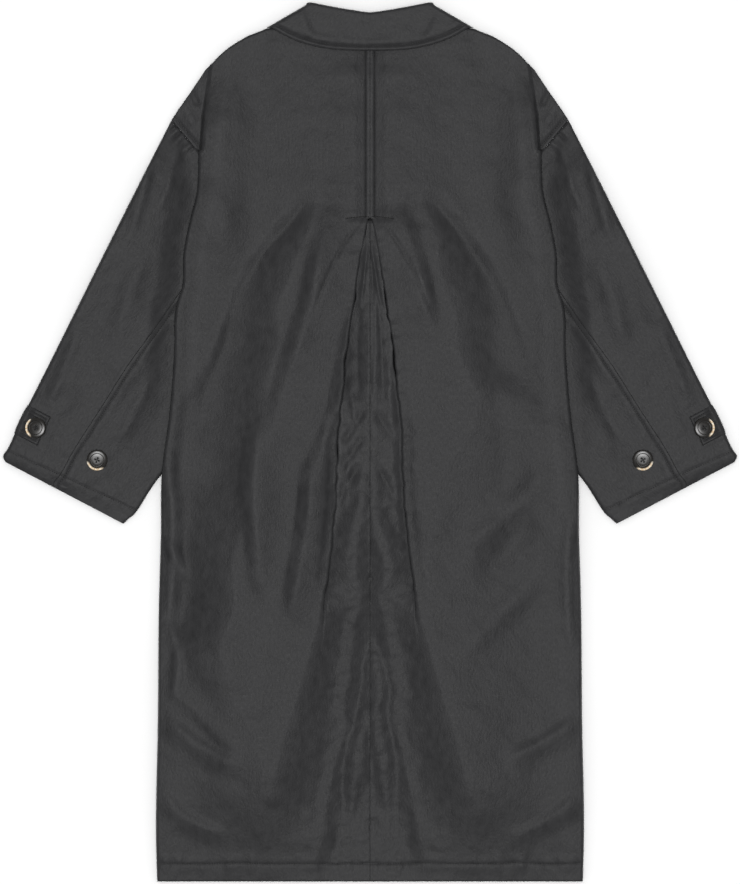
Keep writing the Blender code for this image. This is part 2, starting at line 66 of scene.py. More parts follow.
def ease(span, value):
    """0 at the start of a span, 1 at its end, with a soft start and end."""
    low, high = span
    part = np.clip((np.asarray(value, float) - low) / (high - low), 0, 1)
    return part * part * (3 - 2 * part)


def fade(span, value):
    """1 at the start of a span, 0 at its end."""
    return 1 - ease(span, value)


def between(begins, ends, value):
    """1 between two spans, rising over the first and falling over the second."""
    return ease(begins, value) * fade(ends, value)


def gentle(part):
    """Halfway between a straight slope and an eased one, from 0 to 1."""
    return (part + ease((0, 1), part)) / 2


def bell(aside, width):
    """1 on a line, falling off softly on both sides of it."""
    return np.exp(-(aside / width) ** 2)


def higher(one, two, softness):
    """The higher of two heights, with a soft change from one to the other."""
    return softness * np.logaddexp(one / softness, two / softness)


def read(sizes, key, column, at):
    """A column of a table, read between its rows in straight lines."""
    return np.interp(at, sizes[key], sizes[column])


def read_smooth(sizes, key, column, at):
    """A column of a table, read along a smooth curve through its rows."""
    places, values = sizes[key], sizes[column]
    slopes = np.gradient(values, places)
    at = np.clip(np.asarray(at, float), places[0], places[-1])
    i = np.clip(np.searchsorted(places, at, side="right") - 1, 0, len(places) - 2)
    step = places[i + 1] - places[i]
    t = (at - places[i]) / step
    blend = t * t * (3 - 2 * t)
    leave = t * (1 - t) ** 2 * step * slopes[i]
    arrive = t * t * (1 - t) * step * slopes[i + 1]
    return values[i] + (values[i + 1] - values[i]) * blend + leave - arrive


# Driving sizes, as in the part
MM = 0.001
LENGTH = (CAD_HIGH.y - CAD_LOW.y) / MM
WALL = 3.0
GAP = 0.3
LAYER = WALL + 0.9
FRONT_LEVEL = WALL / 2
BACK_LEVEL = FRONT_LEVEL + LAYER
LAP_HALF = 30.0
BAR_UP = 902.0
EDGE_ROUND = 0.7          # of every free edge
SEAM_ROUND = 0.2          # of an edge that is sewn to the next piece
SEAM_GAP = 0.06           # between pieces that are sewn together

# Neck and shoulder of the back, and the front's own neckline
BACK_TOP = table(
    "half up",
    (0, 1149.2), (30, 1150.2), (61, 1153.5), (122, 1163), (132, 1161), (141, 1160), (148, 1157), (166, 1150),
    (181, 1141.5), (193, 1133.5), (203, 1125), (211, 1117), (221, 1104),
)
FRONT_TOP = table(
    "half up",
    (0, 1078), (141, 1160), (148, 1157), (166, 1150), (181, 1141.5), (193, 1133.5),
    (203, 1125), (211, 1117), (221, 1104), (242, 1076.5), (261, 1049.5), (269.5, 1035.5),
)
# The back's outer edge: folded over the sleeve from shoulder to underarm, then the side seam
BACK_SIDE = table(
    "up half",
    (0, 289.5), (56, 291), (220, 288.5), (380, 287), (470, 284.5), (556, 283), (634, 273), (727, 266),
    (778, 264.5), (812, 255), (850, 254), (895, 246), (935, 236), (995, 233), (1060, 226), (1104, 220),
)
CAP_EDGE = table(
    "up half",
    (993, 234), (996, 236.5), (1035.5, 270), (1049.5, 261), (1076.5, 242), (1104, 223.5),
)
# The inverted pleat. Tuck is how far the cloth doubles under itself; below zero it lies open by that much
PLEAT = table(
    "up crest tuck layers",
    (0, 146, -90, 0.25),
    (100, 138, -85, 1.1),
    (187, 120, -68, 1.7),
    (267, 95, -45, 1.9),
    (354, 72, -12, 2),
    (437, 56, 5, 2),
    (524, 48.5, 13, 2),
    (634, 44, 21, 2),
    (702, 38.5, 26, 2),
    (736, 34, 28, 2),
    (803, 23, 31, 2),
    (845, 18.5, 32, 2),
    (902, 9.5, 32, 2),
)
# Where the cloth turns under at the pleat, as it lies
FOLD = table(
    "up crest",
    (0, 146), (100, 138), (187, 120), (267, 95), (354, 72), (437, 57), (524, 48.5), (631, 43.8), (681, 37.5),
    (709, 36.5), (740, 31), (784, 24.5), (809, 21.3), (847, 15.2), (881, 8.6), (902, 4.4),
)
# Sleeve stations from armhole to cuff; seam and inseam are fractions of the width, on top and underneath
SLEEVE = table(
    "station outer outer_up inner inner_up seam inseam",
    (0, 270.15, 1035.37, 195.8, 947.7, 0.90, 0.62),
    (1, 304.6, 967.6, 204, 905, 0.88, 0.62),
    (2, 340, 897, 212, 838, 0.84, 0.62),
    (3, 378, 821, 220, 758, 0.66, 0.60),
    (4, 413.4, 750, 234, 670, 0.50, 0.60),
    (5, 447.4, 682, 262, 587, 0.43, 0.60),
    (6, 473.3, 630.4, 296.5, 536.5, 0.415, 0.60),
    (7, 491, 592, 317, 504, 0.41, 0.60),
    (8, 499, 579, 328, 493.5, 0.41, 0.60),
    (9, 496, 570.5, 335.5, 486.5, 0.41, 0.60),
)

# Cloth
ROUND_LIMIT = 0.45        # of the distance to the next points, for a rounded edge
RIM_ANGLES = np.radians((45, 0, -45))
PADDING = 3.0             # the most by which padding thickens the cloth; above that the lining rises too
CREST_REACH = 12.0        # within which a place counts as standing out
CREST_WIDTHS = 1.6        # of a bell within that reach


def run_along(grid, axis):
    """Lengths along the lines of a grid of points, from the first point of each."""
    steps = np.nan_to_num(np.linalg.norm(np.diff(grid, axis=axis), axis=2))
    return np.insert(np.cumsum(steps, axis=axis), 0, 0, axis=axis)


def flat_runs(middle):
    """Lengths across and along the flat cloth for a grid of points."""
    across = run_along(middle, 1)
    return across, np.broadcast_to(run_along(middle, 0).mean(1)[:, None], across.shape)


def in_metres(points):
    """Points (x, up, z) as Blender takes them."""
    return ((np.array(points) - (0, LENGTH / 2, 0)) * MM).tolist()


def as_piece(name, mesh, finish):
    """An object of a mesh, with its finish."""
    mesh.materials.clear()
    mesh.materials.append(finish)
    made = bpy.data.objects.new(name, mesh)
    bpy.context.scene.collection.objects.link(made)
    return made


def cloth_wall(name, outer, inner, cut, finish, rounding=EDGE_ROUND, crest=0.0):
    """A closed wall of cloth between two grids of points (x, up, z), rounded along its edges.

    It is cut away where a point is NaN. Cut holds each point's place on the flat cloth, for the weave, and
    crest how far it stands out of the cloth round it, which the finish turns into painted highlight and
    painted shade.
    """
    here = ~np.isnan(outer[..., 0])
    whole = here[:-1, :-1] & here[1:, :-1] & here[:-1, 1:] & here[1:, 1:]
    i, j = np.nonzero(whole)
    columns = here.shape[1]
    corners = (i * columns + j)[:, None] + np.array((0, 1, columns + 1, columns))
    used, ring = np.unique(corners, return_inverse=True)
    ring = ring.reshape(-1, 4)
    count = len(used)
    top = outer.reshape(-1, 3)[used]
    under = inner.reshape(-1, 3)[used]
    place = cut.reshape(-1, 2)[used]
    rise = np.broadcast_to(crest, here.shape).reshape(-1)[used]
    middle = (top + under) / 2

    after = np.roll(ring, -1, 1)
    free = ~np.isin(ring * count + after, after * count + ring)
    start, end = ring[free], after[free]
    towards = np.zeros((count, 3))
    face_middle = middle[ring].mean(1)
    for k in range(4):
        np.add.at(towards, ring[:, k], face_middle - middle[ring[:, k]])
    rim = np.unique(start)
    reach = np.linalg.norm(towards[rim], axis=1, keepdims=True)
    radius = np.broadcast_to(rounding, here.shape).reshape(-1)[used][rim][:, None]
    inward = towards[rim] / reach * np.minimum(radius, ROUND_LIMIT * reach)
    half_wall = (top[rim] - under[rim]) / 2
    rings = [middle[rim] + inward * (1 - math.cos(a)) + half_wall * math.sin(a) for a in RIM_ANGLES]
    top[rim] += inward
    under[rim] += inward

    rim_number = np.zeros(count, int)
    rim_number[rim] = np.arange(len(rim))
    levels = [np.arange(count)]
    levels += [2 * count + k * len(rim) + rim_number for k in range(len(rings))]
    levels += [np.arange(count) + count]
    faces = [ring, ring[:, ::-1] + count]
    for high, low in zip(levels, levels[1:]):
        faces.append(np.stack([high[end], high[start], low[start], low[end]], axis=1))
    faces = np.concatenate(faces)
    points = np.concatenate([top, under] + rings)
    p = points[faces]
    volume = np.einsum("ij,ij->", p[:, 0], np.cross(p[:, 1], p[:, 2]) + np.cross(p[:, 2], p[:, 3]))
    if volume < 0:
        faces = faces[:, ::-1]

    mesh = bpy.data.meshes.new(name)
    mesh.from_pydata(in_metres(points), [], faces.tolist())
    places = np.concatenate([place, place] + [place[rim]] * len(rings))
    weave = mesh.uv_layers.new(name="cut")
    weave.data.foreach_set("uv", (places[faces.ravel()] * MM).astype(np.float32).ravel())
    # Crest drives the painted highlight and painted shade in the cloth's colour; the lining and the rims get
    # none
    rise = np.concatenate([rise, rise * 0] + [rise[rim] * 0] * len(rings)).astype(np.float32)
    mesh.attributes.new("crest", "FLOAT", "POINT").data.foreach_set("value", rise)
    mesh.shade_smooth()
    return as_piece(name, mesh, finish)


def section_normals(grid):
    """Unit normals of a grid of points (x, up, z), each within its row's own section."""
    ahead = np.roll(grid, -1, 1)
    behind = np.roll(grid, 1, 1)
    ahead[:, -1] = np.nan
    behind[:, 0] = np.nan
    run = np.where(np.isnan(ahead), grid, ahead) - np.where(np.isnan(behind), grid, behind)
    normal = np.stack([-run[..., 2], np.zeros(run.shape[:2]), run[..., 0]], axis=2)
    return normal / np.linalg.norm(normal, axis=2, keepdims=True)


def raise_skins(outer, inner, lift):
    """Raises the upper skin of a wall by a height, and its lining by what is more than the padding."""
    outer[..., 2] += np.maximum(lift, -WALL / 2)
    inner[..., 2] += np.maximum(lift - PADDING, 0)


def standing_out(lift, spacing):
    """How far each place of a grid stands above the mean of the places of its row within reach."""
    steps = max(int(CREST_REACH / spacing), 1)
    weights = bell(np.linspace(-CREST_WIDTHS, CREST_WIDTHS, 2 * steps + 1), 1)
    weights = weights / weights.sum()
    padded = np.pad(lift, ((0, 0), (steps, steps)), mode="edge")
    return lift - sum(w * padded[:, k:k + lift.shape[1]] for k, w in enumerate(weights))


# Creases
WAVES = 14                # that make up a gentle unevenness
WAVE_LENGTHS = (0.7, 1.6)
# How far a fold strays from its path, as part of its width, how uneven it is, and where it begins and ends
DROP_WOBBLE = {"part": 0.22, "size": 130, "seed": 300}
DROP_UNEVEN = {"part": 0.4, "size": 120, "seed": 340}
DROP_SPAN = ((0, 0.3), (0.7, 1))
DROP_REACH = 2.2          # widths from its path to where nothing is left of it
RIDGE_SPAN = ((0, 0.25), (0.75, 1))
RIDGE_REACH = 2.5
GROOVE_WIDTH = 1.5        # of a stitched line pressed into the padding
PUFF_PLACE = 6.0          # distance from the line where the padding stands up again
PUFF_WIDTH = 5.0
PUFF_UNEVEN = 0.4
PUCKER_WIDTH = 9.0
SEWN_SPAN = ((-0.001, 0.01), (0.99, 1.001))
SEWN_REACH = 30.0


def curve_through(x1, up1, x2, up2, x3, up3, points=20):
    """Points of a bow through three places."""
    t = np.linspace(0, 1, points)[:, None]
    first, middle, last = np.array((x1, up1)), np.array((x2, up2)), np.array((x3, up3))
    pull = 2 * middle - (first + last) / 2
    return (1 - t) ** 2 * first + 2 * t * (1 - t) * pull + t * t * last


def path_run(path):
    """Length of a path from its start to each of its points."""
    return np.concatenate([[0], np.cumsum(np.hypot(*np.diff(path, axis=0).T))])


def beside(path, x, up):
    """How far places lie to the east of a path that runs down, and at what part of its length."""
    done = path_run(path)
    nearest = np.full(x.shape, np.inf)
    aside = np.zeros(x.shape)
    along = np.zeros(x.shape)
    for k, step in enumerate(np.hypot(*np.diff(path, axis=0).T)):
        run_x, run_up = path[k + 1] - path[k]
        part = np.clip(((x - path[k, 0]) * run_x + (up - path[k, 1]) * run_up) / step**2, 0, 1)
        off_x = x - path[k, 0] - part * run_x
        off_up = up - path[k, 1] - part * run_up
        far = np.hypot(off_x, off_up)
        near = far < nearest
        nearest = np.where(near, far, nearest)
        aside = np.where(near, far * np.sign(run_x * off_up - run_up * off_x), aside)
        along = np.where(near, done[k] + part * step, along)
    return aside, along / done[-1]


def near_path(path, x, up, reach):
    """The places that a path may touch."""
    low, high = path.min(0) - reach, path.max(0) + reach
    return (x > low[0]) & (x < high[0]) & (up > low[1]) & (up < high[1])


def unevenness(x, up, size, seed):
    """Gentle random waves about as long as size, between -1 and 1."""
    draw = np.random.default_rng(seed)
    waves = np.zeros(np.shape(x))
    for _ in range(WAVES):
        turn = draw.uniform(0, math.pi)
        length = size * draw.uniform(*WAVE_LENGTHS)
        phase = draw.uniform(0, 2 * math.pi)
        waves = waves + np.sin(2 * math.pi * (x * math.cos(turn) + up * math.sin(turn)) / length + phase)
    return waves / math.sqrt(WAVES * 2)


def waver(along, size, seed):
    """Gentle random waves along one direction."""
    return unevenness(along, along * 0, size, seed)


def rumple(x, up, waves, side=0):
    """Height of gentle random waves, each given by its height, size and seed, which may differ by side."""
    return sum(height * unevenness(x, up, size, seed + side) for height, size, seed in waves)


def drops(sizes, x, up):
    """Height added by folds that fall away steeply along a path and fade slowly on its high side."""
    lift = np.zeros(x.shape)
    for k, (*places, width, reach, height, high) in enumerate(zip(*sizes.values())):
        path = curve_through(*places)
        near = near_path(path, x, up, max(width, reach) * DROP_REACH)
        stray, uneven = (wave["part"] * unevenness(x[near], up[near], wave["size"], wave["seed"] + k)
                         for wave in (DROP_WOBBLE, DROP_UNEVEN))
        aside, along = beside(path, x[near], up[near])
        aside = aside * high + stray * width
        fall = ease((-width, width), aside) * bell(np.maximum(aside, 0), reach)
        lift[near] += height * between(*DROP_SPAN, along) * (1 + uneven) * fall
    return lift


def ridges(sizes, x, up):
    """Height added by soft ridges, or taken away by troughs, each with its own width on either side."""
    lift = np.zeros(x.shape)
    for *places, west, east, height in zip(*sizes.values()):
        path = curve_through(*places)
        near = near_path(path, x, up, max(west, east) * RIDGE_REACH)
        aside, along = beside(path, x[near], up[near])
        lift[near] += height * between(*RIDGE_SPAN, along) * bell(aside, np.where(aside < 0, west, east))
    return lift


def stitched(path, x, up, depth, puff, pucker, pitch, seed, side=0):
    """Height added along a line of stitches: a groove, puffed padding beside it, and puckers across it."""
    lift = np.zeros(x.shape)
    near = near_path(path, x, up, SEWN_REACH)
    aside, along = beside(path, x[near], up[near])
    wave = waver(along * path_run(path)[-1], pitch, seed + side)
    lift[near] = between(*SEWN_SPAN, along) * (
        -depth * bell(aside, GROOVE_WIDTH)
        + puff * bell(np.abs(aside) - PUFF_PLACE, PUFF_WIDTH) * (1 + PUFF_UNEVEN * wave)
        + pucker * wave * bell(aside, PUCKER_WIDTH)
    )
    return lift


# Sewing: distances of the stitched lines, and how deep they lie in the padding
CENTRE_STITCH = 6.2       # from the centre back seam
HEM_STITCH = {"above": 24.5, "half": 300, "points": 61, "waver": 0.9, "size": 80, "seed": 12}
BAR_HALF = 32.0           # of the bar tack where the pleat opens
ARMHOLE_STITCH = 6.0      # from the armhole seam
CUFF_STITCH = (14.0, 25.0)  # from the edge of the cuff, at its outer and inner ends
SEAM_STITCH = 6.4         # from the back seam of the sleeve
HEM_SEWN = {"depth": 0.4, "puff": 0.2, "pucker": 0.3, "pitch": 20, "seed": 11}
BAR_SEWN = {"depth": 0.9, "puff": 0.1, "pucker": 0.0, "pitch": 16, "seed": 9}
SEAM_SEWN = {"depth": 0.4, "puff": 0.3, "pucker": 0.15, "pitch": 18, "seed": 51}
CUFF_SEWN = {"depth": 0.4, "puff": 0.1, "pucker": 0.15, "pitch": 18, "seed": 61}
# Where rows and columns of points lie closer together, along the stitched lines
STITCH_OFFSETS = np.array((0, 0.4, 1.8, 3.4, 4.6, 5.4, 6.1, 6.8, 7.6, 8.6, 10.2, 12.6, 15.6))
HEM_UPS = np.array((36, 32.5, 29.5, 27.4, 26, 25.1, 24.5, 23.9, 23, 21.4, 18.5, 14.5, 10, 6, 2.6, 0))

# Back: what lies below it
LAP_TOP = (1085.0, 1125.0)
LAP_REACH = (LAP_HALF + 8, LAP_HALF + 50)
UNDERARM = (490.0, 556.0)
UNDERARM_EDGE = (500.0, 545.0)
SHOULDER = (1005.0, 1104.0)
SLEEVE_REACH = (50.0, 105.0)
SLEEVE_RISE = 4.6
EDGE_REACH = (7.0, 30.0)
EDGE_RISE = 2.5
EDGE_SLEEVE_RISE = 1.1
NECK = (1060.0, 1105.0)
NECK_REACH = (125.0, 165.0)
NECK_RISE = 3.6
PLEAT_SPREAD = 70.0
PLEAT_TOP = (BAR_UP + 8, 1020.0)


def over_sleeve(half, up, underarm=UNDERARM, edge_spread=1.0):
    """Height added over the sleeve and along the outer edge; the slopes may be spread."""
    inside = read_smooth(BACK_SIDE, "up", "half", up) - half
    cover = between(underarm, SHOULDER, up)
    near, far = EDGE_REACH
    edge = (EDGE_RISE + EDGE_SLEEVE_RISE * cover) * fade((near, near + (far - near) * edge_spread), inside)
    return edge + SLEEVE_RISE * cover * fade(SLEEVE_REACH, inside)


def back_level(half, up):
    """Middle of the back's wall over what lies below it."""
    crest = read_smooth(PLEAT, "up", "crest", up)
    tuck = np.maximum(read(PLEAT, "up", "tuck", up), 0)
    drop = LAYER * read(PLEAT, "up", "layers", up) * fade(PLEAT_TOP, up)
    aside = crest + tuck + 2 * WALL
    level = BACK_LEVEL + drop * fade((aside, aside + PLEAT_SPREAD), half)
    level = level + NECK_RISE * ease(NECK, up) * fade(NECK_REACH, half)
    return level + over_sleeve(half, up)


def lap_lift(half, up):
    """Height added where the two fronts lap below."""
    return LAYER * fade(LAP_REACH, half) * fade(LAP_TOP, up)


# Back: the padded top
# How the raised middle slopes down to its sides: where the slope begins and ends, its height above the layer
# below and the height that is left at its end
LEFT_SLOPE = table(
    "up begin end height left",
    (0, 150, 300, 3.5, 2.0), (60, 140, 300, 9.0, 4.0), (100, 142, 300, 13.8, 5.5),
    (137, 146, 300, 16.8, 6.0), (187, 152, 300, 17.0, 6.5), (260, 190, 290, 15.9, 7.0),
    (328, 198, 262, 15.7, 5.5), (355, 190, 258, 15.6, 3.0), (437, 185, 256, 15.5, 0.5),
    (546, 164, 247, 15.2, -2.0), (682, 140, 229, 15.2, -1.0), (791, 114, 206, 15.2, 0.5),
    (850, 95, 176, 15.0, 2.0), (886, 84, 138, 13.8, 3.0), (920, 74, 120, 11.6, 3.0), (990, 60, 110, 5.0, 0),
    (1060, 60, 110, 0, 0),
)
RIGHT_SLOPE = table(
    "up begin end height left",
    (0, 150, 300, 3.5, 2.0), (60, 140, 300, 9.0, 4.0), (100, 138, 300, 13.8, 5.5),
    (137, 134, 300, 16.8, 6.0), (187, 125, 300, 17.0, 6.5), (300, 95, 300, 15.4, 5.0),
    (450, 80, 300, 14.6, 4.5), (560, 100, 296, 14.8, 3.0), (618, 140, 270, 15.2, 2.5),
    (655, 146, 244, 15.2, 2.0), (709, 126, 220, 15.2, 2.0), (818, 100, 192, 15.2, 2.0),
    (886, 84, 138, 13.8, 3.0), (920, 74, 120, 11.6, 3.0), (990, 60, 110, 5.0, 0), (1060, 60, 110, 0, 0),
)
SLOPES = {-1: LEFT_SLOPE, 1: RIGHT_SLOPE}
SLOPE_WOBBLE = {"width": 5.0, "size": 110, "seed": 88}
# Lower end of the smooth upper back, which runs down to the sleeves on both sides
UPPER_END = table(
    "half up",
    (0, 890), (70, 900), (92, 896), (120, 866), (160, 812), (185, 764), (215, 680), (260, 620),
)
UPPER_END_REACH = 48.0
# The upper back falls gently to the neck and to the sides
FILL_CENTRE = table(
    "up rise",
    (880, 14.6), (950, 12.8), (1000, 11.0), (1040, 9.4), (1085, 7.2), (1112, 5.2), (1132, 3.8),
)
FILL_SIDE = table("below rise", (0, 3.4), (30, 3.8), (120, 6.2), (220, 8.0))
FILL_REACH = (15.0, 170.0)
FILL_SOFTNESS = 0.8
TOP_UNDERARM = (320.0, 556.0)     # where the top of the back comes down from the sleeve
EDGE_SPREAD = 3.0         # how much wider the slope to the outer edge is on top than on the lining


def raised(half, up, side):
    """Height of the raised middle of the back, which slopes down to its sides."""
    begin, end, height, left = (read_smooth(SLOPES[side], "up", column, up)
                                for column in ("begin", "end", "height", "left"))
    wobble = SLOPE_WOBBLE["width"] * waver(up, SLOPE_WOBBLE["size"], SLOPE_WOBBLE["seed"] + side)
    part = np.clip((half + wobble - begin) / (end - begin), 0, 1)
    return left + (height - left) * (1 - gentle(part))


def back_top(half, up, side):
    """Height of the back's top above the layer below: the raised middle and the smooth upper back."""
    beside_centre = ease(FILL_REACH, half)
    below = read(BACK_TOP, "half", "up", half) - up
    upper = read_smooth(FILL_CENTRE, "up", "rise", up) * (1 - beside_centre)
    upper = upper + read(FILL_SIDE, "below", "rise", below) * beside_centre
    end = read_smooth(UPPER_END, "half", "up", half)
    upper = upper * ease((-UPPER_END_REACH, UPPER_END_REACH), up - end)
    sides = over_sleeve(half, up, TOP_UNDERARM, EDGE_SPREAD)
    return higher(upper, raised(half, up, side) + sides, FILL_SOFTNESS)


# Back: folds, creases and sewing
# Folds of the back, each falling away along the path; the high side is east (1) or west (-1) of it
BACK_DROPS = table(
    "x1 up1 x2 up2 x3 up3 width fade height high",
    (-54, 935, -104, 740, -152, 575, 13, 55, 3.8, 1),
    (-138, 660, -168, 510, -138, 345, 12, 50, 3.2, 1),
    (-20, 830, -48, 670, -94, 540, 11, 45, 3.6, 1),
    (-82, 600, -98, 460, -120, 340, 12, 45, 4.2, 1),
    (-212, 430, -240, 340, -214, 225, 16, 50, 1.8, 1),
    (34, 940, 68, 855, 96, 730, 10, 45, 3.4, -1),
    (-192, 1120, -174, 980, -184, 800, 26, 60, 3.2, -1),
    (192, 1120, 180, 980, 188, 800, 30, 60, 2.9, 1),
)
# Smaller ridges and troughs of the back
BACK_RIDGES = table(
    "x1 up1 x2 up2 x3 up3 west east height",
    (-2, 908, -44, 852, -80, 762, 2.6, 2.6, -0.75),
    (6, 908, 50, 848, 86, 762, 2.6, 2.6, -0.75),
    (-283, 228, -240, 190, -167, 149, 16, 9, 2.2),
    (-286, 126, -246, 84, -182, 60, 14, 8, 1.7),
    (-275, 267, -220, 215, -171, 160, 9, 14, 1.2),
    (285, 228, 240, 192, 178, 165, 9, 16, 2.0),
    (288, 126, 246, 86, 177, 56, 8, 14, 1.7),
    (250, 566, 190, 505, 122, 445, 16, 16, 1.6),
    (242, 430, 185, 370, 122, 310, 16, 16, 1.6),
    (235, 500, 190, 455, 140, 400, 18, 18, -1.4),
    (-280, 600, -268, 480, -276, 330, 7, 9, 1.8),
    (-282, 468, -262, 440, -250, 405, 7, 6, 1.6),
    (-276, 360, -262, 300, -272, 240, 6, 8, 1.5),
    (278, 520, 268, 420, 276, 300, 8, 7, 1.2),
)
BACK_RUMPLE = ((0.35, 60, 1), (0.12, 22, 2), (0.05, 11, 3))     # height, size and seed
FOLDS_BEGIN = (18.0, 45.0)        # below the neck and shoulder
UNDER_COLLAR = (8.0, 24.0)
COLLAR_HALF = (128.0, 146.0)
WELT_STEP = (CENTRE_STITCH - 1.8, CENTRE_STITCH + 0.3)
WELT_BESIDE = (CENTRE_STITCH + 0.6, 24.0)
WELT_END = (BAR_UP - 2, BAR_UP + 4)
WELT_RISE = 1.2
WELT_GROOVE = {"depth": 0.55, "width": 1.3}
# Along the pleat's folds: where they stray, a broad ridge, small puckers and an edge that rolls off
FOLD_STRAYS = {"waves": ((1.1, 45, 80), (0.55, 15, 84)), "span": ((60, 200), (860, 900))}
PLEAT_RIDGE = {"height": 0.8, "outward": 62.0, "span": ((0, 110), (300, 430))}
FOLD_PUCKER = {
    "height": 0.55, "reach": 9.0, "pitch": 17.0, "slant": 0.6, "seed": 130, "span": ((380, 460), (880, 900)),
}
ROLL_OFF = {"height": {-1: 2.6, 1: 1.4}, "width": (1.0, 20.0), "span": ((380, 470), (560, 700))}


def pleat_crest(up, side):
    """Distance from the centre to where the cloth turns under, a little uneven on its way down."""
    stray = rumple(up, up * 0, FOLD_STRAYS["waves"], side)
    return read_smooth(FOLD, "up", "crest", up) + between(*FOLD_STRAYS["span"], up) * stray


def hem_path():
    """The stitched line above the hem, which wavers a little."""
    x = np.linspace(-HEM_STITCH["half"], HEM_STITCH["half"], HEM_STITCH["points"])
    strays = HEM_STITCH["waver"] * waver(x, HEM_STITCH["size"], HEM_STITCH["seed"])
    return np.stack([x, HEM_STITCH["above"] + strays], axis=1)


def along_pleat(half, up, side):
    """Height added along the pleat's folds."""
    beyond = np.maximum(half - pleat_crest(up, side), 0)
    ridge, pucker, rolled = (between(*fold["span"], up) for fold in (PLEAT_RIDGE, FOLD_PUCKER, ROLL_OFF))
    wave = unevenness(up, half * FOLD_PUCKER["slant"], FOLD_PUCKER["pitch"], FOLD_PUCKER["seed"] + side)
    lift = PLEAT_RIDGE["height"] * ridge * bell(beyond, PLEAT_RIDGE["outward"])
    lift += FOLD_PUCKER["height"] * pucker * wave * np.exp(-beyond / FOLD_PUCKER["reach"])
    return lift - ROLL_OFF["height"][side] * rolled * fade(ROLL_OFF["width"], beyond)


def back_relief(x, up, side):
    """Height that padding, folds, creases and sewing add to the back."""
    half = np.abs(x)
    below = back_level(half, up) - BACK_LEVEL + lap_lift(half, up)
    from_neck = read(BACK_TOP, "half", "up", half) - up
    lift = higher(0, back_top(half, up, side) - below, FILL_SOFTNESS)
    lift = lift * (1 - fade(UNDER_COLLAR, from_neck) * fade(COLLAR_HALF, half))
    folds = drops(BACK_DROPS, x, up) + ridges(BACK_RIDGES, x, up) + rumple(x, up, BACK_RUMPLE)
    lift += (folds + along_pleat(half, up, side)) * ease(FOLDS_BEGIN, from_neck)
    welt = WELT_RISE * (ease(WELT_BESIDE, half) - ease(WELT_STEP, half))
    welt -= WELT_GROOVE["depth"] * bell(half - CENTRE_STITCH, WELT_GROOVE["width"])
    lift += welt * ease(WELT_END, up)
    bar = np.array(((-BAR_HALF, BAR_UP), (BAR_HALF, BAR_UP)))
    return lift + stitched(bar, x, up, **BAR_SEWN) + stitched(hem_path(), x, up, **HEM_SEWN)


# Underlay of the pleat
# Ridges that run down the pleat's underlay, with half the width of their tops; it slopes down beside them
LEFT_RIDGE = table(
    "up x top height",
    (0, -84, 3, 2.5), (59, -71, 5, 3.8), (137, -60, 6, 3.4), (175, -48.5, 5, 3.4), (217, -39.5, 5, 3.6),
    (240, -43, 6, 3.8), (271, -38, 8, 4.6), (343, -29, 6, 5.0), (383, -18, 4, 5.2), (428, -26, 4, 5.4),
    (452, -24, 5, 5.4), (500, -14, 2, 4), (570, -8, 1, 0),
)
RIGHT_RIDGE = table(
    "up x top height",
    (0, 88, 3, 2.5), (59, 75, 5, 3.8), (137, 59, 6, 3.4), (175, 51, 5, 3.4), (232, 37, 5, 3.8),
    (260, 43, 7, 4.4), (280, 40, 8, 4.6), (328, 33, 6, 5.0), (385, 19.5, 4, 5.2), (428, 25, 4, 5.4),
    (447, 22, 5, 5.4), (477, 11, 3, 4), (560, 7, 1, 0),
)
INNER_LEFT_RIDGE = table(
    "up x top height",
    (90, -26, 1, 0), (126, -21, 2, 2.6), (150, -17, 3, 4.0), (195, -13.6, 3, 4.4), (212, -7, 2, 4.0),
    (262, -3, 1, 0),
)
INNER_RIGHT_RIDGE = table(
    "up x top height",
    (90, 26, 1, 0), (140, 20, 2, 3.2), (185, 14, 3, 4.4), (235, 9, 2, 4.8), (264, 13, 2, 5.0),
    (294, 9, 2, 4.4), (345, 3, 1, 0),
)
OUTER_RIDGES = {-1: LEFT_RIDGE, 1: RIGHT_RIDGE}
RIDGE_SLOPE = 0.19        # of the cloth beside them
RIDGE_ROUND = 2.0
RIDGE_SOFTNESS = 0.4
RIDGE_PRESSED = 0.05      # of their height, where the pleat is closed
# Streaks of the underlay where the pleat is closed
UNDERLAY_STREAKS = table(
    "x1 up1 x2 up2 x3 up3 west east height",
    (3, 820, 5, 740, 7, 640, 3, 5, 0.7),
    (10, 800, 15, 730, 19, 640, 4, 4, -0.7),
    (24, 720, 27, 690, 30, 630, 4, 4, 0.7),
    (-12, 790, -16, 730, -13, 650, 5, 4, -0.6),
    (-28, 690, -22, 640, -14, 610, 4, 4, 0.8),
    (-34, 600, -30, 560, -36, 500, 4, 4, 0.8),
    (0, 880, 7, 830, 17, 772, 2.2, 2.6, 1.1),
    (-3, 880, -7, 832, -14, 772, 2.4, 2.4, 1.0),
    (3, 856, 4, 780, 5, 690, 2, 3, -0.8),
    (-2, 642, -18, 624, -38, 592, 6, 5, -1.1),
    (-4, 608, -20, 590, -40, 560, 6, 5, -1.1),
    (-6, 570, -24, 552, -42, 512, 6, 5, -1.2),
    (2, 642, 17, 624, 38, 592, 5, 6, -1.1),
    (2, 570, 17, 552, 36, 512, 5, 6, -1.2),
)
# By which the underlay's left half slopes down from the seam
UNDERLAY_TILT = table("up slope", (600, 0.0), (655, 0.06), (680, 0.16), (720, 0.17), (790, 0.08))
TILT_BEGINS = 2.0
STREAKS_BEGIN = (0.0, 60.0)       # below the bar tack
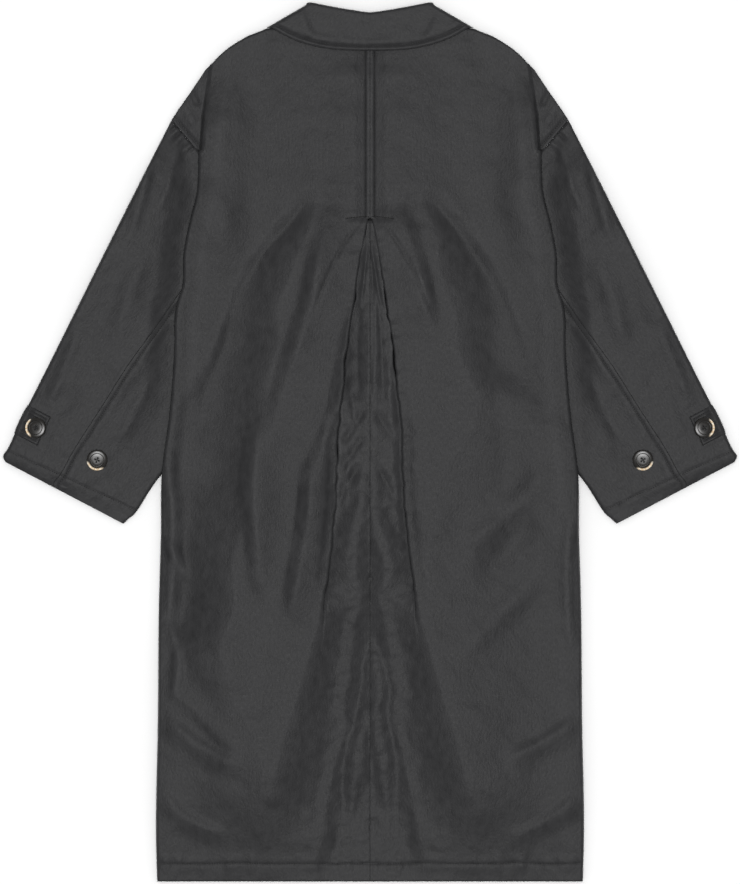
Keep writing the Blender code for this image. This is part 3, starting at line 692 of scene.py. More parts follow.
# By how much the underlay lies below the folds
UNDERLAY_LOW = table(
    "up below",
    (0, 16), (187, 14.5), (278, 13), (338, 10.8), (400, 8), (437, 6.4), (480, 4.6), (520, 3.2), (560, 2.2),
    (620, 1.4), (902, 1.4),
)
UNDERLAY_RUMPLE = ((0.3, 26, 21), (0.2, 11, 22))
FLUTES = {"height": 0.18, "size": 15, "seed": 23, "stretch": 0.25, "ends": (180.0, 280.0)}
UNDERLAY_SEAM = {"depth": 0.14, "width": 1.6}
UNDERLAY_BEGINS = (0.0, 3.0)      # below the bar tack
HEM_FLAT = {"left": 0.4, "reach": (0.0, 60.0)}    # part of the relief that is left at the hem
CLOSED = (-12.0, 12.0)            # tucks between which the pleat closes
FLANK_OPENS = (-10.0, 4.0)        # tucks between which its flank opens
FLANK_LEAST = 10.0
# Where the underlay dips softly to the right fold
SOFT_FOLD = {"height": 2.4, "width": (2.0, 16.0), "span": ((440, 490), (640, 690))}
UNDERLAY_COLUMNS = 26
UNDERLAY_SHOWN = 21       # columns of the underlay that show


def soft_fold(up, side):
    """1 where the underlay meets a fold in a soft dip, 0 where the fold has a crack beside it."""
    return between(*SOFT_FOLD["span"], up) * (side > 0)


def underlay_ridge(sizes, x, up, level_outside):
    """Height of a ridge that runs down the underlay; on its outer side it slopes too, or stays level."""
    middle = read_smooth(sizes, "up", "x", up)
    aside = np.abs(x - middle)
    if level_outside:
        aside = np.maximum(np.abs(middle) - x * np.sign(middle), 0)
    beyond = np.maximum(aside - read(sizes, "up", "top", up), 0)
    return read(sizes, "up", "height", up) - RIDGE_SLOPE * (np.hypot(beyond, RIDGE_ROUND) - RIDGE_ROUND)


def underlay_relief(x, up, side, level_outside=False):
    """Height that creases and sewing add to the underlay of the pleat, where it shows."""
    lift = np.zeros(x.shape)
    for sizes in (LEFT_RIDGE, RIGHT_RIDGE):
        lift = higher(lift, underlay_ridge(sizes, x, up, level_outside), RIDGE_SOFTNESS)
    for sizes in (INNER_LEFT_RIDGE, INNER_RIGHT_RIDGE):
        lift = higher(lift, underlay_ridge(sizes, x, up, False), RIDGE_SOFTNESS)
    closed = ease(CLOSED, read(PLEAT, "up", "tuck", up))
    lift = lift * (1 - RIDGE_PRESSED * closed)
    over = np.zeros(x.shape) if level_outside else np.abs(x)
    pushed = read_smooth(SLOPES[side], "up", "height", up) - lap_lift(over, up)
    lift += higher(0, pushed - read_smooth(UNDERLAY_LOW, "up", "below", up), FILL_SOFTNESS)
    tilt = read(UNDERLAY_TILT, "up", "slope", up) * np.maximum(-x - TILT_BEGINS, 0)
    lift += closed * (ridges(UNDERLAY_STREAKS, x, up) - tilt) * ease(STREAKS_BEGIN, BAR_UP - up)
    to_fold = pleat_crest(up, side) - np.abs(x)
    lift -= SOFT_FOLD["height"] * soft_fold(up, side) * fade(SOFT_FOLD["width"], to_fold)
    flutes = unevenness(x, up * FLUTES["stretch"], FLUTES["size"], FLUTES["seed"])
    lift += rumple(x, up, UNDERLAY_RUMPLE) + FLUTES["height"] * fade(FLUTES["ends"], up) * flutes
    lift -= UNDERLAY_SEAM["depth"] * bell(x, UNDERLAY_SEAM["width"])
    shown = np.arange(x.shape[1]) < UNDERLAY_SHOWN
    lift = lift * np.where(shown, 1, 1 - closed) * ease(UNDERLAY_BEGINS, BAR_UP - up)
    above_hem = HEM_FLAT["left"] + (1 - HEM_FLAT["left"]) * ease(HEM_FLAT["reach"], up)
    return lift * above_hem + stitched(hem_path(), x, up, **HEM_SEWN)


# Sleeve head, above the armhole seam
ARMHOLE = np.array(((271.0, 1036.7), (235.5, 994.8)))     # on the wearer's right
# Creases of the sleeve head, above the armhole
CAP_RIDGES = table(
    "x1 up1 x2 up2 x3 up3 west east height",
    (250, 1082, 240, 1068, 232, 1052, 4, 4, -1.2),
    (256, 1062, 247, 1044, 240, 1024, 7, 7, 0.8),
)
CAP_RUMPLE = ((0.2, 24, 95),)
CAP_GROOVE = {"depth": 1.0, "width": 1.7}
CAP_FLAT = (0.5, 3.0)     # from the seam


def moved_aside(line, inset):
    """A straight line moved to its side, by one distance or by one at each end."""
    run_x, run_up = (line[1] - line[0]) / np.hypot(*(line[1] - line[0]))
    return line + np.outer(np.broadcast_to(inset, 2), (run_up, -run_x))


def cap_relief(half, up):
    """Height that creases and sewing add to the sleeve head."""
    lift = ridges(CAP_RIDGES, half, up) + rumple(half, up, CAP_RUMPLE)
    aside, _ = beside(moved_aside(ARMHOLE, ARMHOLE_STITCH), half, up)
    lift -= CAP_GROOVE["depth"] * bell(aside, CAP_GROOVE["width"])
    edge, _ = beside(ARMHOLE, half, up)
    return lift * ease(CAP_FLAT, np.abs(edge))


# Rows of a panel
STRAIGHT_ROW = 8          # first row of a panel that no longer follows its shoulder
SHOULDER_FADE = 1.5       # how soon the rows before it straighten


def fine_rows(rows, step):
    """Places between a table's main rows, about a step apart, as fractions of its rows."""
    places = [0.0]
    for k in range(len(rows["side"]) - 1):
        far = max(abs(rows[edge][k + 1] - rows[edge][k]) for edge in ("centre", "side"))
        places += list(np.linspace(k, k + 1, max(int(far / step), 1) + 1)[1:])
    return np.array(places)


def at_rows(values, places):
    """Values of the main rows, read at places between them."""
    return np.interp(places, np.arange(len(values)), values)


def row_ups(places, centre, side, across, top, first_half):
    """Heights of a panel's points; its first rows follow the neck and shoulder."""
    shape = read(top, "half", "up", first_half) - (centre[0] + (side[0] - centre[0]) * across)
    shaped = np.maximum(0, 1 - places / STRAIGHT_ROW)[:, None] ** SHOULDER_FADE
    return centre[:, None] + (side - centre)[:, None] * across + shape * shaped


# Back: its two halves
ROW_STEP = 3.4
# Main rows of the back, by their heights at the centre and at the outer edge
BACK_ROWS = table(
    "centre side",
    (1149.2, 1104), (1125, 1087), (1098, 1069), (1068, 1051), (1040, 1035.5), (1012, 1015),
    (986, 994.4), (984, 993), (942, 946), (BAR_UP + 1, BAR_UP + 1), (BAR_UP - 1, BAR_UP - 1),
    (HEM_UPS[0], HEM_UPS[0]),
)
CAP_ROW = 6               # last main row that reaches out to the armhole
PLEAT_ROW = 10            # first main row that has the pleat
CAP_STEP = 5.4            # width of the slope from the folded edge down to the sleeve head
CAP_RISE = 0.7
LIP_ROUND = 2.5           # of the folded edge
COLUMN_CROWD = 1.2        # how much closer the columns lie near the centre
ROLL_TIGHT = 0.7          # width of a folded edge's roll, as part of a round one
ROLL_CLOSES = (0.0, 15.0)
ROLL_REACH = 2.0          # of the folded edge beyond its crest, and the crack beside it
GAPE = {"width": 0.9, "pitch": 24, "seed": 140}       # how unevenly the crack gapes
# Places where the pleat gapes along its folded edge
PLEAT_GAPS = table(
    "side middle length width",
    (-1, 790, 14, 1.5), (-1, 712, 26, 1.6), (1, 793, 14, 1.8), (1, 707, 24, 2.6), (-1, 600, 26, 1.2),
)
UNDERLAY_STEP = 0.4       # between its seam, what shows and what is hidden
SHOWN_LEAST = 1.0
HIDDEN_LEAST = 2.0
ARC_STEPS = 8
TUCK_STEPS = 5
MAIN_COLUMNS = 70
LIP_COLUMNS = 8
CAP_COLUMNS = 16
CREST_COLUMNS = 3         # beyond the pleat's crest that get no painted highlight or shade where it is open
SHARP_COLUMNS = 2         # of the folded edge, after which it is sewn to the sleeve
# First columns of the flat panel, of its folded edge and of the sleeve head
MAIN = UNDERLAY_COLUMNS + 2 * ARC_STEPS + TUCK_STEPS
LIP = MAIN + len(STITCH_OFFSETS) + MAIN_COLUMNS
CAP = LIP + LIP_COLUMNS


def fold_section(tuck, drop):
    """Points (inward, down) of cloth that turns under itself by tuck and drops to the layer below."""
    straight = max(tuck, WALL / 2)
    turn, radius = math.pi, drop / 4
    if tuck < 0:
        turn, radius = 2 * math.atan2(drop, -tuck), (tuck * tuck + drop * drop) / (4 * drop)
    arc = turn * np.arange(1, ARC_STEPS + 1) / ARC_STEPS
    tight = 1 - (1 - ROLL_TIGHT) * ease(ROLL_CLOSES, tuck)
    roll = radius * np.stack([np.sin(arc) * tight, 1 - np.cos(arc)], axis=1)
    parts = straight * np.arange(1, TUCK_STEPS + 1) / TUCK_STEPS
    flat = roll[-1] + np.outer(parts, (math.cos(turn), math.sin(turn)))
    arc = turn - arc
    back = radius * np.stack([math.sin(turn) - np.sin(arc), np.cos(arc) - math.cos(turn)], axis=1)
    points = np.concatenate([roll, flat, flat[-1] + back])
    return points * (1, drop / points[-1, 1])


def back_rows(side):
    """Rows of one half of the back: where they lie, start and end, and what they reach."""
    places = fine_rows(BACK_ROWS, ROW_STEP)
    rows = {edge: np.append(at_rows(BACK_ROWS[edge], places), HEM_UPS[1:]) for edge in ("centre", "side")}
    rows["place"] = np.append(places, places[-1] + np.arange(1, len(HEM_UPS)))
    rows["capped"] = rows["place"] <= CAP_ROW
    rows["pleated"] = rows["place"] >= PLEAT_ROW
    lip_out = np.where(rows["capped"], CAP_STEP, LIP_ROUND)
    rows["start"] = np.where(rows["pleated"], pleat_crest(rows["side"], side), SEAM_GAP / 2)
    rows["end"] = read_smooth(BACK_SIDE, "up", "half", rows["side"]) - WALL / 2 - lip_out
    return rows


def back_panel(rows):
    """Points (half, up, z) from the centre seam or the pleat's crest to the folded edge."""
    start, end = rows["start"][:, None], rows["end"][:, None]
    fine = start + STITCH_OFFSETS
    spread = np.linspace(0, 1, MAIN_COLUMNS + 1)[1:] ** COLUMN_CROWD
    half = np.concatenate([fine, fine[:, -1:] + (end - fine[:, -1:]) * spread], axis=1)
    across = (half - start) / (end - start)
    first = start[0] + (end[0] - start[0]) * across
    up = row_ups(rows["place"], rows["centre"], rows["side"], across, BACK_TOP, first)
    return np.stack([half, up, back_level(half, up)], axis=2)


def add_edge(row, up, capped):
    """Adds the folded edge to a row: turned down to the layer below, or sloping on to the sleeve head."""
    edge_x, edge_up, edge_z = row[LIP - 1]
    if capped:
        part = np.linspace(0, 1, LIP_COLUMNS + 1)[1:]
        out = CAP_STEP * part
        down = (edge_z - BACK_LEVEL - CAP_RISE) * ease((0, 1), part)
    else:
        top = BACK_LEVEL + EDGE_RISE + (SLEEVE_RISE + EDGE_SLEEVE_RISE) * between(UNDERARM, SHOULDER, up)
        rests_on = FRONT_LEVEL + WALL / 2 + GAP + LAYER * ease(UNDERARM_EDGE, up)
        angle = np.linspace(0, math.pi / 2, LIP_COLUMNS)[1:]
        out = LIP_ROUND * np.append(np.sin(angle), 1)
        down = np.append(LIP_ROUND * (1 - np.cos(angle)), top - rests_on - GAP)
    row[LIP:CAP] = np.stack([edge_x + out, np.full(LIP_COLUMNS, edge_up), edge_z - down], axis=1)
    if capped:
        cap_x = read(CAP_EDGE, "up", "half", up)
        begin_x, _, begin_z = row[CAP - 1]
        part = np.arange(1, CAP_COLUMNS + 1) / CAP_COLUMNS
        row[CAP:, 0] = begin_x + (cap_x - begin_x) * part
        row[CAP:, 2] = begin_z - CAP_RISE * part
        row[LIP:, 1] = np.interp(row[LIP:, 0], (edge_x, cap_x), (edge_up, up))


def crack(up, side):
    """Distance from the crest of the pleat's fold to where the underlay shows."""
    gape = GAPE["width"] * (1 - soft_fold(up, side)) * waver(up, GAPE["pitch"], GAPE["seed"] + side)
    return ROLL_REACH + gape + sum(
        width * bell(up - middle, length)
        for gap_side, middle, length, width in zip(*PLEAT_GAPS.values()) if gap_side == side
    )


def add_pleat(row, up, side):
    """Adds the pleat to a row: its fold, the tuck below it and the underlay up to the centre seam."""
    crest_x, crest_up, crest_z = row[MAIN]
    drop = LAYER * read(PLEAT, "up", "layers", up)
    inward, down = fold_section(read(PLEAT, "up", "tuck", up), drop)[::-1].T
    turned = [crest_x - inward, np.full(len(inward), crest_up), crest_z - down]
    row[UNDERLAY_COLUMNS:MAIN] = np.stack(turned, axis=1)
    row[:UNDERLAY_COLUMNS] = row[UNDERLAY_COLUMNS]
    foot_x = row[UNDERLAY_COLUMNS, 0]
    shown_x = max(min(crest_x - crack(up, side), foot_x - HIDDEN_LEAST), SHOWN_LEAST)
    row[0, 0] = SEAM_GAP / 2
    row[1:UNDERLAY_SHOWN, 0] = np.linspace(UNDERLAY_STEP, shown_x, UNDERLAY_SHOWN - 1)
    hidden = np.linspace(shown_x + UNDERLAY_STEP, foot_x, UNDERLAY_COLUMNS - UNDERLAY_SHOWN + 1)
    row[UNDERLAY_SHOWN:UNDERLAY_COLUMNS, 0] = hidden[:-1]


def back_grid(rows, side):
    """Middle of the back's wall (half, up, z), from the centre to the outer edge; NaN beside the cloth."""
    grid = np.full((len(rows["side"]), CAP + CAP_COLUMNS, 3), np.nan)
    grid[:, MAIN:LIP] = back_panel(rows)
    for row, up, capped, pleated in zip(grid, rows["side"], rows["capped"], rows["pleated"]):
        add_edge(row, up, capped)
        if pleated:
            add_pleat(row, up, side)
    grid[..., 2] += lap_lift(grid[..., 0], grid[..., 1])
    return grid


def flank_lift(grid, x, up, rows, crest_top, side):
    """Height of the open pleat's flank, from the foot of the underlay's ridge up to the crest."""
    ridge, ups, start = OUTER_RIDGES[side], rows["side"], rows["start"]
    foot_x = np.abs(read_smooth(ridge, "up", "x", ups)) + read(ridge, "up", "top", ups)
    foot_x = np.minimum(foot_x, start - FLANK_LEAST)[:, None]
    part = gentle(np.clip((np.abs(x) - foot_x) / (start[:, None] - foot_x), 0, 1))
    foot = grid[:, :1, 2] + underlay_relief(x, up, side, level_outside=True)
    return foot + (grid[:, MAIN, None, 2] + crest_top - foot) * part - grid[:, :MAIN, 2]


def back_lift(grid, normal, runs, rows, side):
    """Height added to the top of one half of the back, and how far its places stand out."""
    x, up = np.nan_to_num(grid[..., 0]), np.nan_to_num(grid[..., 1])
    turned = slice(UNDERLAY_COLUMNS, MAIN)
    foot_run, crest_run = runs[:, UNDERLAY_COLUMNS, None], runs[:, MAIN, None]
    part = np.clip((runs[:, turned] - foot_run) / np.maximum(crest_run - foot_run, 1), 0, 1)
    facing_up = np.maximum(np.nan_to_num(normal[:, turned, 2]), 0)
    crest_top = back_relief(side * rows["start"], rows["side"], side)[:, None]

    lift = back_relief(x, up, side)
    lift[:, turned] = crest_top * gentle(part) * facing_up
    lift[:, :UNDERLAY_COLUMNS] = 0
    lift[:, LIP:CAP] *= np.linspace(1, 0, LIP_COLUMNS)
    lift[:, CAP:] = cap_relief(np.abs(x[:, CAP:]), up[:, CAP:])
    below = underlay_relief(x[:, :MAIN], up[:, :MAIN], side)
    below[:, turned] *= facing_up * fade((0, 1), part)
    lift[:, :MAIN] += below
    opened = fade(FLANK_OPENS, read(PLEAT, "up", "tuck", rows["side"]))[:, None]
    flank = flank_lift(grid, x[:, :MAIN], up[:, :MAIN], rows, crest_top, side)
    lift[:, :MAIN] += np.nan_to_num(opened * (flank - lift[:, :MAIN]))
    crest = standing_out(lift, ROW_STEP)
    # Where the pleat is open, its flank and underlay get no painted highlight or shade
    crest[:, :MAIN + CREST_COLUMNS] *= 1 - opened
    return lift, crest


def back_half(name, side, finish):
    """One half of the back, cut in one with its half of the pleat."""
    rows = back_rows(side)
    grid = back_grid(rows, side)
    runs = run_along(grid, 1)
    width = runs - runs[:, MAIN, None] + grid[:, MAIN, None, 0]
    cut = np.stack([np.where(np.isnan(grid[..., 0]), np.nan, width), grid[..., 1]], axis=2)
    normal = section_normals(grid) * (side, 1, 1)
    grid = grid * (side, 1, 1)
    outer, inner = grid + normal * WALL / 2, grid - normal * WALL / 2
    lift, crest = back_lift(grid, normal, runs, rows, side)
    raise_skins(outer, inner, lift)
    rounding = np.full(lift.shape, EDGE_ROUND)
    rounding[:, 0] = SEAM_ROUND
    rounding[~rows["pleated"], MAIN] = SEAM_ROUND
    rounding[rows["capped"], LIP + SHARP_COLUMNS:] = SEAM_ROUND
    return cloth_wall(name, outer, inner, cut, finish, rounding, crest), cut


# Fronts
# Rows of a front, by their heights at the centre and at the side
FRONT_ROWS = table(
    "centre side",
    (1078, 1035.5), (1050, 1010), (1018, 985), (980, 951.5), (930, 905), (850, 838), (760, 758),
    (670, 670), (587, 587), (530, 556), (440, 470), (320, 330), (165, 165), (0, 0),
)
ARMHOLE_ROW = 3
SLEEVE_ROW = 9
SLEEVE_CLEAR = 1.0
FRONT_LAP_REACH = (LAP_HALF + 12, LAP_HALF + 40)
FRONT_COLUMNS = 48
LAP_COLUMNS = 6
FRONT_STEP = 8.0


def front_half(name, side, on_top, finish):
    """One front, flat on the floor; the one on top rises over the other where they lap."""
    ups = FRONT_ROWS["side"]
    along_sleeve = np.interp(ups, SLEEVE["inner_up"][::-1], SLEEVE["inner"][::-1]) - SLEEVE_CLEAR
    ends = read(BACK_SIDE, "up", "half", ups)
    ends[:SLEEVE_ROW + 1] = np.minimum(ends, along_sleeve)[:SLEEVE_ROW + 1]
    armhole_ends = (along_sleeve[ARMHOLE_ROW], FRONT_TOP["half"][-1])
    ends[:ARMHOLE_ROW] = np.interp(ups[:ARMHOLE_ROW], (ups[ARMHOLE_ROW], ups[0]), armhole_ends)
    places = fine_rows(FRONT_ROWS, FRONT_STEP)
    across = np.linspace(0, 1, FRONT_COLUMNS)
    half = at_rows(ends, places)[:, None] * across
    centre = at_rows(FRONT_ROWS["centre"], places)
    up = row_ups(places, centre, at_rows(ups, places), across, FRONT_TOP, half[0])
    lap_half = np.linspace(-LAP_HALF, 0, LAP_COLUMNS + 1)[:-1]
    lap_up = np.array([np.interp(-lap_half, h, u) for h, u in zip(half, up)])
    half = np.concatenate([np.broadcast_to(lap_half, lap_up.shape), half], axis=1)
    up = np.concatenate([lap_up, up], axis=1)
    level = np.full(half.shape, FRONT_LEVEL)
    if on_top:
        level = level + LAYER * fade(FRONT_LAP_REACH, half)
    grid = np.stack([half * side, up, level], axis=2)
    normal = section_normals(grid) * side
    cut = np.stack([half, up], axis=2)
    return cloth_wall(name, grid + normal * WALL / 2, grid - normal * WALL / 2, cut, finish), cut


# Sleeves and their tabs; stations run from armhole to cuff
SLEEVE_LOFT = 2.5
LOFT_BEGINS = (0, 2.5)
LOFT_ENDS = (4.5, 10.0)
LOFT_FILL_ENDS = (3.2, 5.3)
PLUMP = table("station across", (0, 0.5), (3, 0.55), (6, 1))
SLEEVE_PUFF = 7.0         # of the padding on top
PUFF_SPAN = ((-0.1, 1.1), (2.0, 5.4))
TURN_INSET = WALL / 2 + LAYER / 2
TAB_WALL = 3.0
TAB_SPAN = (5.63, 6.5)
TAB_REACH = 35.0
TAB_RETURN = 22.0
TAB_LIFT = TAB_WALL + GAP
# Where the sleeve lies on the tab's end, how its padding evens that out, and where it is flat below the tab
ON_TAB = {"span": ((5.13, 5.58), (6.55, 7.0)), "across": (0.2, 0.4)}
TAB_FILL = {"span": ((2.5, 5.6), (6.5, 11.5)), "across": (0.2, 0.95)}
UNDER_TAB = {
    "span": ((TAB_SPAN[0] - 0.25, TAB_SPAN[0] - 0.05), (TAB_SPAN[1] + 0.05, TAB_SPAN[1] + 0.25)),
    "run": (TAB_REACH + 2, TAB_REACH + 14),
}
# From the body's edge: where a sleeve's creases begin, and how its padding rises
CREASES_BEGIN = (-8.0, 2.0)
PADDING_RISES = table("begin end part", (0, 37, 0.65), (14, 82, 0.35))
SLEEVE_ROWS = np.concatenate([np.linspace(0, 7, 150), np.linspace(7, 9, 26)[1:]])
SLEEVE_STEP = 3.5
CUFF_EDGE = 8.5           # station where the seams end in the cuff's free edge
TOP_COLUMNS = 42
TURN_COLUMNS = 9
UNDER_COLUMNS = 14
SEAM_CROWD = 40.0         # width from which the columns lie close along the stitching
HEAD_UNDER = 2.5          # how far the sleeve head runs on below the back's folded edge
HEAD_HALF = (233.0, 240.0)
SEAM_STATIONS = np.linspace(2, 9, 24)
CUFF_STATION = 9.0
CUFF_BEYOND = 20.0        # by which the cuff's stitched line runs on past its ends
# Creases of a sleeve's top, as on the wearer's right; the other sleeve mirrors them
SLEEVE_DROPS = table(
    "x1 up1 x2 up2 x3 up3 width fade height high",
    (282, 800, 296, 720, 318, 640, 14, 40, 1.6, 1),
    (330, 880, 366, 800, 396, 730, 18, 40, 1.4, 1),
)
SLEEVE_RIDGES = table(
    "x1 up1 x2 up2 x3 up3 west east height",
    (258, 1020, 270, 960, 292, 900, 6, 7, 1.2),
    (300, 985, 310, 930, 330, 870, 7, 9, 1.3),
    (300, 860, 330, 790, 345, 720, 14, 12, 1.4),
    (392, 760, 420, 690, 440, 640, 9, 9, 1.2),
    (290, 700, 320, 640, 345, 590, 9, 9, 1.2),
)
SLEEVE_RUMPLE = ((0.3, 50, 31), (0.12, 20, 41), (0.05, 11, 45))
SLEEVE_SEAM = {"depth": 0.14, "width": 1.2}
GATHERS = {"height": 0.9, "place": 5, "width": 9, "length": 60, "pitch": 11, "seed": 55}   # below the armhole


def sleeve_at(station, column):
    """A size of the sleeve at a station, which may lie between two rows."""
    return read_smooth(SLEEVE, "station", column, station)


def sleeve_frame(stations):
    """Outer edge, direction inwards and width of the flat sleeve at stations."""
    outer = np.stack([sleeve_at(stations, "outer"), sleeve_at(stations, "outer_up")], axis=-1)
    inner = np.stack([sleeve_at(stations, "inner"), sleeve_at(stations, "inner_up")], axis=-1)
    width = np.linalg.norm(inner - outer, axis=-1)
    return outer, (inner - outer) / width[..., None], width


def sleeve_place(stations, run):
    """Places (x, up) on the wearer's right sleeve, run mm in from its outer edge."""
    outer, along, _ = sleeve_frame(np.asarray(stations, float))
    return outer + along * np.asarray(run, float)[..., None]


def near_tab(spans, station, across):
    """1 near the tab, by its spans along the sleeve and across it."""
    return between(*spans["span"], station) * fade(spans["across"], across)


def sleeve_bow(station, across):
    """Section of the sleeve's loft, 1 in the middle of its plump part."""
    return np.sin(math.pi * np.clip(across / read(PLUMP, "station", "across", station), 0, 1))


def sleeve_levels(station, across):
    """Middles of the sleeve's lower and upper walls, a fraction across it from the outer edge."""
    lower = WALL / 2 + TAB_LIFT * near_tab(ON_TAB, station, across)
    loft = SLEEVE_LOFT * sleeve_bow(station, across) * between(LOFT_BEGINS, LOFT_ENDS, station)
    return lower, lower + LAYER + loft


def sleeve_fill(station, across):
    """Height that the padding adds on top of the sleeve, so that it runs out evenly round the tab."""
    tab = np.maximum(near_tab(TAB_FILL, station, across) - near_tab(ON_TAB, station, across), 0)
    loft = (1 - sleeve_bow(station, across)) * between(LOFT_BEGINS, LOFT_FILL_ENDS, station)
    return TAB_LIFT * tab + SLEEVE_LOFT * loft + SLEEVE_PUFF * between(*PUFF_SPAN, station)


def sleeve_skin(stations, side, top_runs, under_run, inner=False, offset=0.0):
    """Rows of points round one edge of the sleeve, from runs on its top to a run on its underside."""
    outer, along, width = (part[:, None] for part in sleeve_frame(stations))
    station = stations[:, None]
    turn_run = np.full(width.shape, TURN_INSET)
    if inner:
        turn_run = width - TURN_INSET
    lower, upper = sleeve_levels(station, turn_run / width)
    radius = (upper - lower) / 2 + offset
    angles = np.linspace(0, math.pi, TURN_COLUMNS)
    out = radius * np.sin(angles)
    back = turn_run + (under_run[:, None] - turn_run) * np.linspace(0, 1, UNDER_COLUMNS)[1:]
    run = np.concatenate([top_runs[:, :-1], turn_run + (out if inner else -out), back], axis=1)
    height = np.concatenate([
        sleeve_levels(station, top_runs[:, :-1] / width)[1] + offset,
        (upper + lower) / 2 + radius * np.cos(angles),
        sleeve_levels(station, back / width)[0] - offset,
    ], axis=1)
    place = outer + along * run[..., None]
    return np.stack([side * place[..., 0], place[..., 1], height], axis=2)


def sleeve_runs(stations, inner):
    """Runs on top of the sleeve, from its back seam to its edge, closer together along the stitching."""
    width = sleeve_frame(stations)[2][:, None]
    seam = width * sleeve_at(stations, "seam")[:, None]
    turn = width - TURN_INSET if inner else np.full(width.shape, TURN_INSET)
    span = np.abs(turn - seam) - SEAM_GAP / 2
    near = STITCH_OFFSETS * np.minimum(1, span / SEAM_CROWD)
    rest = near[:, -1:] + (span - near[:, -1:]) * np.linspace(0, 1, TOP_COLUMNS + 1)[1:]
    return seam + (1 if inner else -1) * (SEAM_GAP / 2 + np.concatenate([near, rest], axis=1))


def seam_path(inset):
    """The sleeve's back seam, or a line beside it, on the wearer's right."""
    width = sleeve_frame(SEAM_STATIONS)[2]
    return sleeve_place(SEAM_STATIONS, width * sleeve_at(SEAM_STATIONS, "seam") + inset)


def cuff_path():
    """The stitched line round the cuff, on the wearer's right."""
    width = sleeve_frame(np.array(CUFF_STATION))[2]
    edge = sleeve_place((CUFF_STATION, CUFF_STATION), (-CUFF_BEYOND, width + CUFF_BEYOND))
    return moved_aside(edge, CUFF_STITCH)


def sleeve_relief(x, up, side):
    """Height that creases and sewing add to a sleeve's top; x is on the wearer's right."""
    lift = drops(SLEEVE_DROPS, x, up) + ridges(SLEEVE_RIDGES, x, up) + rumple(x, up, SLEEVE_RUMPLE, side)
    lift += stitched(seam_path(SEAM_STITCH), x, up, side=side, **SEAM_SEWN)
    aside, _ = beside(seam_path(0), x, up)
    lift -= SLEEVE_SEAM["depth"] * bell(aside, SLEEVE_SEAM["width"])
    below, along = beside(ARMHOLE, x, up)
    gathers = waver(along * GATHERS["length"], GATHERS["pitch"], GATHERS["seed"] + side) * (along < 1)
    lift += GATHERS["height"] * gathers * bell(np.abs(below) - GATHERS["place"], GATHERS["width"])
    return lift + stitched(cuff_path(), x, up, side=side, **CUFF_SEWN)


def sleeve_piece(name, side, inner, finish):
    """The top sleeve, round the outer edge, or the under sleeve, round the inner one."""
    stations = SLEEVE_ROWS
    width = sleeve_frame(stations)[2]
    runs = sleeve_runs(stations, inner)
    under_run = width * sleeve_at(stations, "inseam") + (GAP / 2 if inner else -GAP / 2)
    outer = sleeve_skin(stations, side, runs, under_run, inner, WALL / 2)
    under = sleeve_skin(stations, side, runs, under_run, inner, -WALL / 2)
    x, up = outer[..., 0] * side, outer[..., 1]
    station = np.broadcast_to(stations[:, None], x.shape)
    run = np.hypot(x - sleeve_at(station, "outer"), up - sleeve_at(station, "outer_up"))
    from_body = x - read(BACK_SIDE, "up", "half", up)

    tops = runs.shape[1] - 1
    shown = np.zeros(outer.shape[1])
    shown[:tops] = 1
    shown[tops:tops + TURN_COLUMNS] = np.cos(np.linspace(0, math.pi / 2, TURN_COLUMNS)) ** 2
    shown = shown * (1 - between(*UNDER_TAB["span"], station) * fade(UNDER_TAB["run"], run))
    lift = sleeve_relief(x, up, side) * shown * ease(CREASES_BEGIN, from_body)
    crest = standing_out(lift, SLEEVE_STEP)
    rises = sum(part * ease((begin, end), from_body) for begin, end, part in zip(*PADDING_RISES.values()))
    lift += sleeve_fill(station, run / width[:, None]) * shown * rises
    raise_skins(outer, under, lift)
    head = HEAD_UNDER * fade(HEAD_HALF, x[0])
    outer[0, :, 1] += head
    under[0, :, 1] += head
    cut = np.stack(flat_runs((outer + under) / 2), axis=2)
    rounding = np.full(lift.shape, SEAM_ROUND)
    rounding[stations > CUFF_EDGE] = EDGE_ROUND
    return cloth_wall(name, outer, under, cut, finish, rounding, crest), cut


TAB_ROWS = 64
TAB_COLUMNS = 30
TAB_SEWN = TAB_COLUMNS - 2        # columns of its top that carry the sewing
TAB_STITCH = 5.0          # from the edges of the tab
TAB_SECOND_STITCH = 9.4   # from its long edges
TAB_ROUND = 0.6
TAB_THINS = (-10, -2)     # columns over which its wall thins towards the sleeve's edge
TAB_THIN = 0.5            # of the wall is left round that edge
TAB_CORNER = {"width": 9.0, "part": 0.6}      # and less at its two corners there
TAB_EDGE = {"width": 1.7, "fall": 1.5}        # its rounded edges
TAB_GROOVE = {"width": 0.6, "depth": 0.8, "apart": 2.0}
TAB_SLIT = {"width": 1.1, "depth": 1.5, "span": ((24.0, 26.0), (31.0, 33.0))}     # its buttonhole's end


